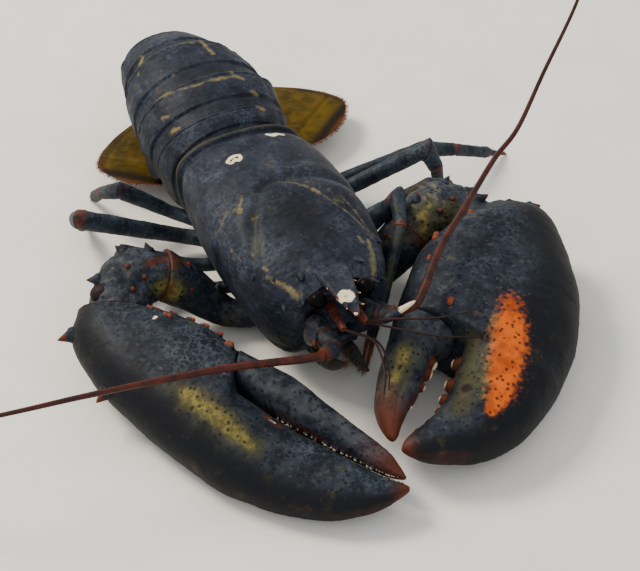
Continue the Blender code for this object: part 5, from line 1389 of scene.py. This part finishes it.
def make_antenna_base(side, points):
    """The base of an antenna, grooved at its two joints, with the leaf-shaped scale and its spine."""
    path = smooth_path(points, 90)
    t = np.linspace(0.0, 1.0, 90)
    pinch = hump(t, 0.36, 0.025) + hump(t, 0.68, 0.025)
    sizes = smooth_row(ANTENNA_BASE_SIZES, 90) * (1.0 - 0.16 * pinch)
    rings = limb_rings(path, sizes, sizes, 44, (path[0], AHEAD))
    rings = raised(rings, 0.12 * lumps(rings, 1.4, 610) + 0.25 * worn(rings, 5.0, 613))
    joints = hump(t, 0.36, 0.03) + hump(t, 0.68, 0.03) + ramp(t, 0.80, 1.0)
    marks = {"olive": 0.4 * ramp(worn(rings, 4.0, 616), -0.3, 0.3),
             "rust": 0.7 * np.clip(joints, 0.0, 1.0)[:, None]}
    made = [skin(rings, marks)]
    places = smooth_path(points, len(ANTENNA_BASE_SIZES))
    root = places[2] + np.array([side * 3.0, 0.0, 1.0])
    way = unit(AHEAD + np.array([side * 0.5, 0.0, 0.25]))
    t = np.linspace(-0.25, 1.0, 50)
    leaf = 3.0 * np.sqrt(np.clip(1.0 - np.abs(t) ** 2.5, 0.0, 1.0)) + 0.15
    inner = root + np.outer(t * 10.5, way) + np.outer(leaf * 0.5, np.cross(way, UP)) * -side
    scale = limb_rings(inner, leaf, 0.55 + 0.35 * (1.0 - t), 30)
    made.append(skin(scale, {"olive": 0.35, "rust": 0.35 * ramp(t, 0.6, 1.0)[:, None]}))
    # The left scale's spine is a rod painted cream over its whole length; the right one is rust
    if side > 0:
        made.append(thorn(np.array([16.8, -126.0, 48.0]), (9.0, 0.2, 3.4), 9.6, 1.3, True, 0.0, "cream", 0.2))
    else:
        made.append(thorn(root + way * 2.0, way, SCALE_SPINE_LENGTH, 1.3, True, 0.0, "rust", 0.6))
    for step, out in ((3, (side * 0.9, -0.6, 0.2)), (5, (side * 0.4, -1.0, 0.5))):
        spot = places[step] + unit(np.array(out, float)) * ANTENNA_BASE_SIZES[step] * 0.9
        made.append(thorn(spot, out, 3.0, 1.0))
    return made


def make_whip(points, route):
    """The whip of an antenna: a long taper ringed by joints, radius·(1 + 0.02·sin), with dark bands."""
    path = smooth_path([points[-1], *route], 1500)
    t = np.linspace(0.0, 1.0, 1500)
    radius = ((1.0 - t) ** 0.9 * (ANTENNA_THICK - ANTENNA_TIP_THICK) + ANTENNA_TIP_THICK) / 2
    reach = reach_along(path)
    ringed = radius * (1.0 + 0.02 * np.sin(reach * 2.0 * np.pi / WHIP_JOINT))
    rings = limb_rings(path, ringed, ringed, 14)
    banded = 0.35 * ramp(t, 0.3, 0.9) + 0.3 * hump(np.mod(reach, WHIP_JOINT), 0.9, 0.35)
    return skin(rings, {"dark": banded[:, None], "ember": 0.4 * (1.0 - ramp(t, 0.0, 0.15))[:, None]})


def make_antennule(side, whips):
    """An antennule: a stem of three joints and two thin ringed whips."""
    root = np.array([side * 4.2, -CARAPACE_LENGTH - GAP, 45.5])
    end = ANTENNULE_END * [side, 1.0, 1.0]
    t = np.linspace(0.0, 1.0, 60)
    pinch = hump(t, 0.4, 0.03) + hump(t, 0.72, 0.03)
    stem = smooth_row(ANTENNULE_SIZES, 60) * (1.0 - 0.15 * pinch)
    rings = limb_rings(root + np.outer(t, end - root), stem, stem, 24, (root, AHEAD))
    made = [skin(rings, {"dark": 0.6 - 0.3 * t[:, None], "ember": 0.35 + 0.3 * ramp(t, 0.8, 1.0)[:, None]})]
    places = np.linspace(root, end, len(ANTENNULE_SIZES))
    for route in whips:
        path = smooth_path([places[-2], places[-1], *route], 420)
        t = np.linspace(0.0, 1.0, 420)
        size = (0.68 - 0.38 * t) * (1.0 + 0.06 * np.sin(t * 420.0))
        made.append(skin(limb_rings(path, size, size, 12), {"dark": 0.55 + 0.3 * ramp(t, 0.5, 1.0)[:, None]}))
    return made


def make_mouth_leg(side, route):
    """One outermost mouth leg: a flattened taper with two joints and a comb of bristles on its inner edge."""
    height = belly_height(STERNUM_LENGTH) - STERNUM_DEPTH / 2
    root = np.array([side * 5.5, -STERNUM_LENGTH - GAP, height])
    path = smooth_path([root, *route], 110)
    t = np.linspace(0.0, 1.0, 110)
    pinch = hump(t, 0.42, 0.02) + hump(t, 0.70, 0.02)
    sizes = smooth_row(MOUTH_LEG_SIZES, 110) * (1.0 - 0.15 * pinch)
    rings = limb_rings(path, sizes * 0.8, sizes, 36, (root, AHEAD))
    rings = raised(rings, 0.1 * lumps(rings, 1.3, 640))
    joints = np.clip(hump(t, 0.42, 0.03) + hump(t, 0.70, 0.03) + 0.8 * ramp(t, 0.85, 1.0), 0.0, 1.0)[:, None]
    rng = np.random.default_rng(650 + side)
    count = 260
    where = rng.uniform(0.25, 0.98, count)
    forward, rise = rng.normal(-0.3, 0.3, count), rng.normal(0.25, 0.5, count)
    out = unit(np.stack([np.full(count, -side * 1.0), forward, rise], axis=1))
    roots = read_along(where, t, path) + out * (np.interp(where, t, sizes) * 0.8)[:, None]
    places = np.stack([(8.5 + side * 0.5 + where * 0.94) / 12.0, rng.uniform(0.0, 1.0, count)], axis=1)
    lengths = rng.uniform(1.8, 3.6, count)
    return skin(rings, {"rust": 0.6 * joints, "olive": 0.5}), (roots, unit(out + 0.5 * AHEAD), lengths,
                                                               places)


def make_eye(side):
    """One eye: the round cornea, set in a short cupped stalk that comes out of the socket."""
    mirror = np.array([side, 1.0, 1.0])
    root, middle = EYE_ROOT * mirror, EYE_BALL * mirror - [LEFT_EYE_INWARD * (side > 0), 0.0, 0.0]
    way = unit(middle - root)
    turn = np.linspace(-0.9, 1.52, 40)
    wide = CORNEA_RADIUS * np.cos(turn)
    rings = limb_rings(middle + np.outer(CORNEA_RADIUS * np.sin(turn), way), wide, wide, 48)
    cornea = skin(rings, {"maroon": 0.5}, (middle - CORNEA_SUNK * way, middle + CORNEA_RADIUS * way))
    t = np.linspace(0.0, 1.0, 50)
    stalk = middle + np.outer(-9.0 + 8.1 * t, way)
    sizes = np.interp(t, (0.0, 0.45, 0.8, 0.95, 1.0), (2.3, 2.6, 3.35, 3.75, 3.45))
    cup = limb_rings(stalk, sizes, sizes, 40)
    return cornea, skin(cup, {"dark": 0.7, "olive": 0.35 * hump(t, 0.95, 0.05)[:, None]})


def ink(colour):
    """A linear colour with alpha 1 from an sRGB hex value."""
    parts = [int(colour[place : place + 2], 16) / 255.0 for place in (1, 3, 5)]
    linear = [part / 12.92 if part <= 0.04045 else ((part + 0.055) / 1.055) ** 2.4 for part in parts]
    return (*linear, 1.0)


def add_node(tree, kind, inputs, output=0, **settings):
    """Adds a node with its settings, sets or links its inputs by name or number, and gives one of its
    outputs."""
    made = tree.nodes.new(kind)
    for name, value in settings.items():
        setattr(made, name, value)
    for place, value in inputs.items():
        if isinstance(value, bpy.types.NodeSocket):
            tree.links.new(value, made.inputs[place])
        else:
            made.inputs[place].default_value = ink(value) if isinstance(value, str) else value
    return made.outputs[output] if made.outputs else None


def cover(tree, below, above, value, low, high, most=1.0):
    """Lays one colour over another, smoothly more as the value goes from low to high, up to the greatest
    share."""
    share = add_node(tree, "ShaderNodeMapRange", {"Value": value, "From Min": low, "From Max": high,
                                                  "To Max": most},
                     interpolation_type="SMOOTHSTEP")
    return add_node(tree, "ShaderNodeMix", {0: share, 6: below, 7: above}, 2, data_type="RGBA")


def stain(tree, below, mark, colour, noise, spread, soft=0.3, most=1.0):
    """Lays a colour where a mark of the piece passes one half, its border broken up by the noise."""
    strength = add_node(tree, "ShaderNodeAttribute", {}, "Fac", attribute_name=mark)
    broken = add_node(tree, "ShaderNodeMath", {0: noise, 1: spread, 2: strength}, operation="MULTIPLY_ADD")
    middle = 0.5 * spread + 0.5
    return cover(tree, below, colour, broken, middle - soft, middle + soft, most)


def begin(name):
    """An empty material, its node tree and the Object coordinates of the piece."""
    made = bpy.data.materials.new(name)
    made.use_nodes = True
    tree = made.node_tree
    tree.nodes.clear()
    return made, tree, add_node(tree, "ShaderNodeTexCoord", {}, "Object")


def complete(tree, colour, rough, grain, depth, strength, constants):
    """The shader with its colour, its roughness over a grain, and a bump of that depth in metres."""
    low, high = rough
    gloss = add_node(tree, "ShaderNodeMapRange",
                     {"Value": grain, "From Min": 0.35, "From Max": 0.65, "To Min": low, "To Max": high})
    bump = add_node(tree, "ShaderNodeBump", {"Height": grain, "Distance": depth, "Strength": strength})
    inputs = {"Base Color": colour, "Roughness": gloss, "Normal": bump, **constants}
    shader = add_node(tree, "ShaderNodeBsdfPrincipled", inputs)
    add_node(tree, "ShaderNodeOutputMaterial", {"Surface": shader})


def shell_finish(name, deep, base, pale, shade, dotted):
    """Chitin shell hardened with lime, as grown and wet: dark blue mottled with slate, pitted, hardly
    shining.

    The eye gets clouds of 26 mm, mottles of 9 mm, a pale net of 3 mm, specks of 2 mm, dark dots 3 mm apart,
    pits of 1.3 mm where bristles stand, and soft broken highlights; dotted is how far the dots cover.
    """
    made, tree, place = begin(name)
    noise = "ShaderNodeTexNoise"
    cloud = add_node(tree, noise, {"Vector": place, "Scale": 1000.0 / 26.0, "Detail": 3.0, "Roughness": 0.55})
    mottle = add_node(tree, noise, {"Vector": place, "Scale": 1000.0 / 9.0, "Detail": 6.0, "Roughness": 0.66})
    worms = add_node(tree, noise, {"Vector": place, "Scale": 1000.0 / 3.4, "Detail": 2.0, "Roughness": 0.5})
    fine = add_node(tree, noise, {"Vector": place, "Scale": 1000.0 / 2.1, "Detail": 5.0, "Roughness": 0.6})
    colour = cover(tree, deep, base, mottle, 0.36, 0.58)
    both = add_node(tree, "ShaderNodeMath", {0: mottle, 1: 0.55, 2: cloud}, operation="MULTIPLY_ADD")
    netted = cover(tree, colour, pale, worms, 0.43, 0.50, 0.75)
    netted = cover(tree, netted, colour, worms, 0.50, 0.58)
    colour = cover(tree, colour, netted, both, 0.72, 0.95)
    colour = cover(tree, colour, pale, fine, 0.52, 0.72, 0.5)
    colour = stain(tree, colour, "slate", "#56585c", mottle, 1.6, 0.55, 0.55)
    # The dark mark paints the shell's own dark patches and also painted shade: the claws' outer sides and the
    # tail plates' tucked fronts
    colour = stain(tree, colour, "dark", shade, mottle, 0.8, 0.45)
    colour = stain(tree, colour, "olive", "#3f3d22", mottle, 1.1, 0.45, 0.85)
    tan = cover(tree, "#5e5426", "#86783e", fine, 0.40, 0.62)
    colour = stain(tree, colour, "yellow", tan, mottle, 1.5, 0.42, 0.85)
    colour = stain(tree, colour, "tan", "#7d7048", fine, 1.0, 0.32, 0.85)
    flame = cover(tree, "#9c3f05", "#cc5c06", mottle, 0.34, 0.56)
    colour = stain(tree, colour, "orange", flame, fine, 1.3, 0.34)
    dots = add_node(tree, "ShaderNodeTexVoronoi", {"Vector": place, "Scale": 1000.0 / 2.8}, "Distance")
    colour = cover(tree, colour, shade, dots, 0.34, 0.18, dotted)
    colour = stain(tree, colour, "rust", "#542714", mottle, 0.6, 0.45)
    colour = stain(tree, colour, "ember", "#7a3a1c", mottle, 0.5, 0.36)
    # Maroon colours the corneas and the hinge balls, and the painted shade of the ball in the right wrist's
    # hollow
    colour = stain(tree, colour, "maroon", "#1a0c0b", mottle, 0.3, 0.3)
    colour = stain(tree, colour, "cream", "#e4d6b2", fine, 0.9, 0.16)
    pits = add_node(tree, "ShaderNodeTexVoronoi", {"Vector": place, "Scale": 1000.0 / 1.3}, "Distance")
    pitted = add_node(tree, "ShaderNodeMath", {0: pits, 1: 0.5, 2: fine}, operation="MULTIPLY_ADD")
    complete(tree, colour, (0.50, 0.62), pitted, 0.00016, 0.38,
             {"IOR": 1.54, "Specular IOR Level": 0.14, "Coat Weight": 0.03, "Coat Roughness": 0.3})
    return made


def fan_finish():
    """Thin chitin of the tail fan, as grown: half clear olive brown with darker margins and an orange edge.

    The eye gets a warm soft sheen, clouds of 9 mm and fine grains, with a little light coming through.
    """
    made, tree, place = begin("thin olive brown chitin")
    noise = "ShaderNodeTexNoise"
    cloud = add_node(tree, noise, {"Vector": place, "Scale": 1000.0 / 9.0, "Detail": 4.0, "Roughness": 0.55})
    fine = add_node(tree, noise, {"Vector": place, "Scale": 1000.0 / 1.4, "Detail": 4.0, "Roughness": 0.55})
    colour = cover(tree, "#362a00", "#544100", cloud, 0.36, 0.64)
    colour = cover(tree, colour, "#6a5500", fine, 0.5, 0.70, 0.3)
    colour = stain(tree, colour, "yellow", "#7c6800", cloud, 1.0, 0.45)
    colour = stain(tree, colour, "dark", "#1b1309", cloud, 0.5, 0.5)
    colour = stain(tree, colour, "ember", "#7c2c10", fine, 0.5, 0.4)
    complete(tree, colour, (0.42, 0.56), fine, 0.00012, 0.5,
             {"IOR": 1.54, "Specular IOR Level": 0.08, "Coat Weight": 0.02, "Coat Roughness": 0.3,
              "Subsurface Weight": 0.12, "Subsurface Scale": 0.002})
    return made


def feeler_finish():
    """Jointed chitin of the feelers, as grown: red brown, darker between the rings, with a waxy sheen."""
    made, tree, place = begin("red brown jointed chitin")
    noise = "ShaderNodeTexNoise"
    cloud = add_node(tree, noise, {"Vector": place, "Scale": 1000.0 / 5.0, "Detail": 4.0, "Roughness": 0.55})
    fine = add_node(tree, noise, {"Vector": place, "Scale": 1000.0 / 0.8, "Detail": 3.0, "Roughness": 0.55})
    colour = cover(tree, "#2c0f0a", "#4c1d10", cloud, 0.35, 0.65)
    colour = stain(tree, colour, "dark", "#170a08", cloud, 0.5, 0.4)
    colour = stain(tree, colour, "ember", "#6e3016", cloud, 0.5, 0.4)
    complete(tree, colour, (0.40, 0.54), fine, 0.00008, 0.4,
             {"IOR": 1.54, "Specular IOR Level": 0.18, "Coat Weight": 0.05, "Coat Roughness": 0.3})
    return made


def cornea_finish():
    """Cornea of a compound eye, smooth and wet: near black with a maroon depth, facets of 0.25 mm and a
    soft gleam."""
    made, tree, place = begin("black maroon cornea")
    cloud = add_node(tree, "ShaderNodeTexNoise", {"Vector": place, "Scale": 1000.0 / 3.0, "Detail": 2.0})
    facets = add_node(tree, "ShaderNodeTexVoronoi", {"Vector": place, "Scale": 1000.0 / 0.25}, "Distance")
    colour = cover(tree, "#020202", "#090405", cloud, 0.3, 0.7)
    complete(tree, colour, (0.38, 0.44), facets, 0.00002, 0.15,
             {"IOR": 1.5, "Specular IOR Level": 0.05, "Coat Weight": 0.02, "Coat Roughness": 0.2})
    return made


def bristle_finish(name, dark, light):
    """Bristles of horny chitin, as grown: fine and matt, from a darker root colour to a lighter one in
    clumps."""
    made, tree, place = begin(name)
    clump = add_node(tree, "ShaderNodeTexNoise", {"Vector": place, "Scale": 1000.0 / 2.0, "Detail": 3.0})
    colour = cover(tree, dark, light, clump, 0.35, 0.65)
    complete(tree, colour, (0.52, 0.60), clump, 0.00004, 0.2,
             {"IOR": 1.54, "Specular IOR Level": 0.2, "Sheen Weight": 0.25})
    return made


def floor_finish():
    """Matt pale paint, rolled flat: an even floor with a faint grain of 30 mm."""
    made, tree, place = begin("matt pale paint")
    grain = add_node(tree, "ShaderNodeTexNoise", {"Vector": place, "Scale": 1000.0 / 30.0, "Detail": 3.0})
    colour = cover(tree, "#f1eee4", "#f6f3ea", grain, 0.3, 0.7)
    complete(tree, colour, (0.72, 0.78), grain, 0.00005, 0.1, {"Specular IOR Level": 0.3})
    return made


def place_camera():
    """The camera of the photograph: 950 mm from a point over the floor, 24° round and 42° up, 16° wide."""
    turn, lift = math.radians(CAMERA_TURN), math.radians(CAMERA_LIFT)
    back = np.array([math.sin(turn) * math.cos(lift), -math.cos(turn) * math.cos(lift), math.sin(lift)])
    data = bpy.data.cameras.new("camera")
    data.sensor_fit = "HORIZONTAL"
    data.sensor_width = SENSOR_WIDTH
    data.lens = SENSOR_WIDTH * CAMERA_FOCUS / PICTURE_WIDTH
    data.dof.use_dof = False
    camera = bpy.data.objects.new("camera", data)
    camera.location = (CAMERA_AIM + back * CAMERA_DISTANCE + SHIFT) * MM
    camera.rotation_euler = Vector(-back).to_track_quat("-Z", "Y").to_euler()
    bpy.context.scene.collection.objects.link(camera)
    bpy.context.scene.camera = camera


def add_light(name, place, aim, size, power, colour):
    """A square soft light that looks at a point."""
    data = bpy.data.lights.new(name, "AREA")
    data.shape = "SQUARE"
    data.size = size
    data.energy = power
    data.color = ink(colour)[:3]
    light = bpy.data.objects.new(name, data)
    light.location = place
    light.rotation_euler = (Vector(aim) - Vector(place)).to_track_quat("-Z", "Y").to_euler()
    bpy.context.scene.collection.objects.link(light)


def set_stage():
    """The pale floor, the soft lights and the even light of the room."""
    corners = np.array([(-2.5, -2.5, 0.0), (2.5, -2.5, 0.0), (2.5, 2.5, 0.0), (-2.5, 2.5, 0.0)])
    mesh = bpy.data.meshes.new("floor")
    mesh.from_pydata(corners.tolist(), [], [(0, 1, 2, 3)])
    mesh.materials.append(floor_finish())
    floor = bpy.data.objects.new("floor", mesh)
    bpy.context.scene.collection.objects.link(floor)
    world = bpy.data.worlds.new("room")
    world.use_nodes = True
    world.node_tree.nodes["Background"].inputs["Color"].default_value = ink("#f4f6fa")
    world.node_tree.nodes["Background"].inputs["Strength"].default_value = 0.95
    bpy.context.scene.world = world
    add_light("window", (-0.75, 0.95, 1.35), (0.0, 0.0, 0.03), 0.6, 34.0, "#fff4e2")
    add_light("front fill", (-0.5, -1.5, 1.2), (0.0, -0.05, 0.03), 1.4, 4.0, "#f4f6ff")


def build():
    """Every piece of the animal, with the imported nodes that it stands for."""
    shell = shell_finish("mottled dark blue shell", "#12161f", "#202632", "#3b4352", "#0c0f15", 0.4)
    claw_shell = shell_finish("mottled blue black claw shell", "#11151d", "#212832", "#434c57", "#090c12",
                              0.8)
    leg_shell = shell_finish("mottled blue green leg shell", "#161d26", "#2a343e", "#4a555e", "#0e1319", 0.5)
    fan = fan_finish()
    red = feeler_finish()
    cornea = cornea_finish()
    fringe = bristle_finish("orange red bristles", "#4a190c", "#8a3c18")
    brown = bristle_finish("brown bristles", "#3a2113", "#7a4a28")

    add_piece("shield", [make_shield(), *make_beak(), *make_brow_spines(), *make_mouth()], shell, "shell",
              "carapace")
    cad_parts["sternum"].material_slots[0].material = leg_shell
    for number in range(1, 7):
        skins = [make_plate(number)]
        if number in SWIMMERET_LENGTHS:
            skins += make_swimmerets(number)
        add_piece(f"tail_plate_{number}", skins, shell, "shell", f"abdomen_{number}")
    hairs = []
    for node, (blade, edge) in make_tail_fan().items():
        add_piece(f"{node}_blade", [blade], fan, "tail_fan_shell", node)
        hairs.append(edge)
    add_hairs("tail_fan_fringe", hairs, FRINGE_HALF_WIDTH, fringe)
    bristles = []
    for word, side, number, ahead, points, radius in LEGS:
        parts, hair = make_leg(side, number, ahead, points, radius)
        bristles.append(hair)
        for part, skins in parts.items():
            node = f"leg_{number}_{word}_{part}"
            add_piece(f"{node}_shell", skins, leg_shell, "shell", node)
    for word, side, route in (("right", -1, RIGHT_MOUTH_LEG), ("left", 1, LEFT_MOUTH_LEG)):
        leg, hair = make_mouth_leg(side, route)
        bristles.append(hair)
        add_piece(f"mouth_leg_{word}", [leg], leg_shell, "shell", f"maxilliped_{word}")
        ball_skin, cup = make_eye(side)
        add_piece(f"cornea_{word}", [ball_skin], cornea, "cornea", f"eye_{word}")
        add_piece(f"eye_stalk_{word}", [cup], shell, "shell")
    add_hairs("leg_bristles", bristles, BRISTLE_HALF_WIDTH, brown)
    claws = (
        ("right", -1, claw_frame(CUTTER_ROOT, CUTTER_TIP, CUTTER_ROLL, -1), CUTTER_SHAPE, CUTTER_PALM_SPINES,
         CUTTER_TEETH, "cream", CUTTER_PATCHES, CUTTER_ARM, CUTTER_WRIST, RIGHT_WRIST_SPINES,
         RIGHT_WRIST_PATCHES),
        ("left", 1, claw_frame(CRUSHER_ROOT, CRUSHER_TIP, CRUSHER_ROLL, 1), CRUSHER_SHAPE,
         CRUSHER_PALM_SPINES,
         CRUSHER_TEETH, "rust", CRUSHER_PATCHES, CRUSHER_ARM, CRUSHER_WRIST, LEFT_WRIST_SPINES,
         LEFT_WRIST_PATCHES),
    )
    for word, side, claw, shape, knobs, teeth, tooth_mark, patches, arm, wrist, thorns, blotches in claws:
        palm, plane = make_palm(claw, shape, knobs, teeth, tooth_mark, patches, 700 + side)
        add_piece(f"claw_{word}_palm_shell", palm, claw_shell, "shell", f"claw_{word}_palm")
        finger = make_finger(claw, shape, teeth, tooth_mark, patches, 750 + side)
        add_piece(f"claw_{word}_finger_shell", finger, claw_shell, "shell", f"claw_{word}_finger")
        upper, lower = make_claw_arm(side, arm, wrist, plane, thorns, blotches, 800 + 40 * side)
        add_piece(f"claw_{word}_arm_shell", upper, claw_shell, "shell", f"claw_{word}_arm")
        add_piece(f"claw_{word}_wrist_shell", lower, claw_shell, "shell", f"claw_{word}_wrist")
    feelers = (
        ("right", -1, RIGHT_ANTENNA_BASE, RIGHT_ANTENNA_ROUTE, RIGHT_ANTENNULE_WHIPS),
        ("left", 1, LEFT_ANTENNA_BASE, LEFT_ANTENNA_ROUTE, LEFT_ANTENNULE_WHIPS),
    )
    for word, side, base, route, whips in feelers:
        add_piece(f"feeler_base_{word}", make_antenna_base(side, base), shell, "shell",
                  f"antenna_base_{word}")
        add_piece(f"feeler_{word}", [make_whip(base, route)], red, "antenna_shell", f"antenna_{word}_near",
                  f"antenna_{word}_far")
        add_piece(f"short_feeler_{word}", make_antennule(side, whips), red, "antenna_shell",
                  f"antennule_{word}")


place_camera()
set_stage()
build()
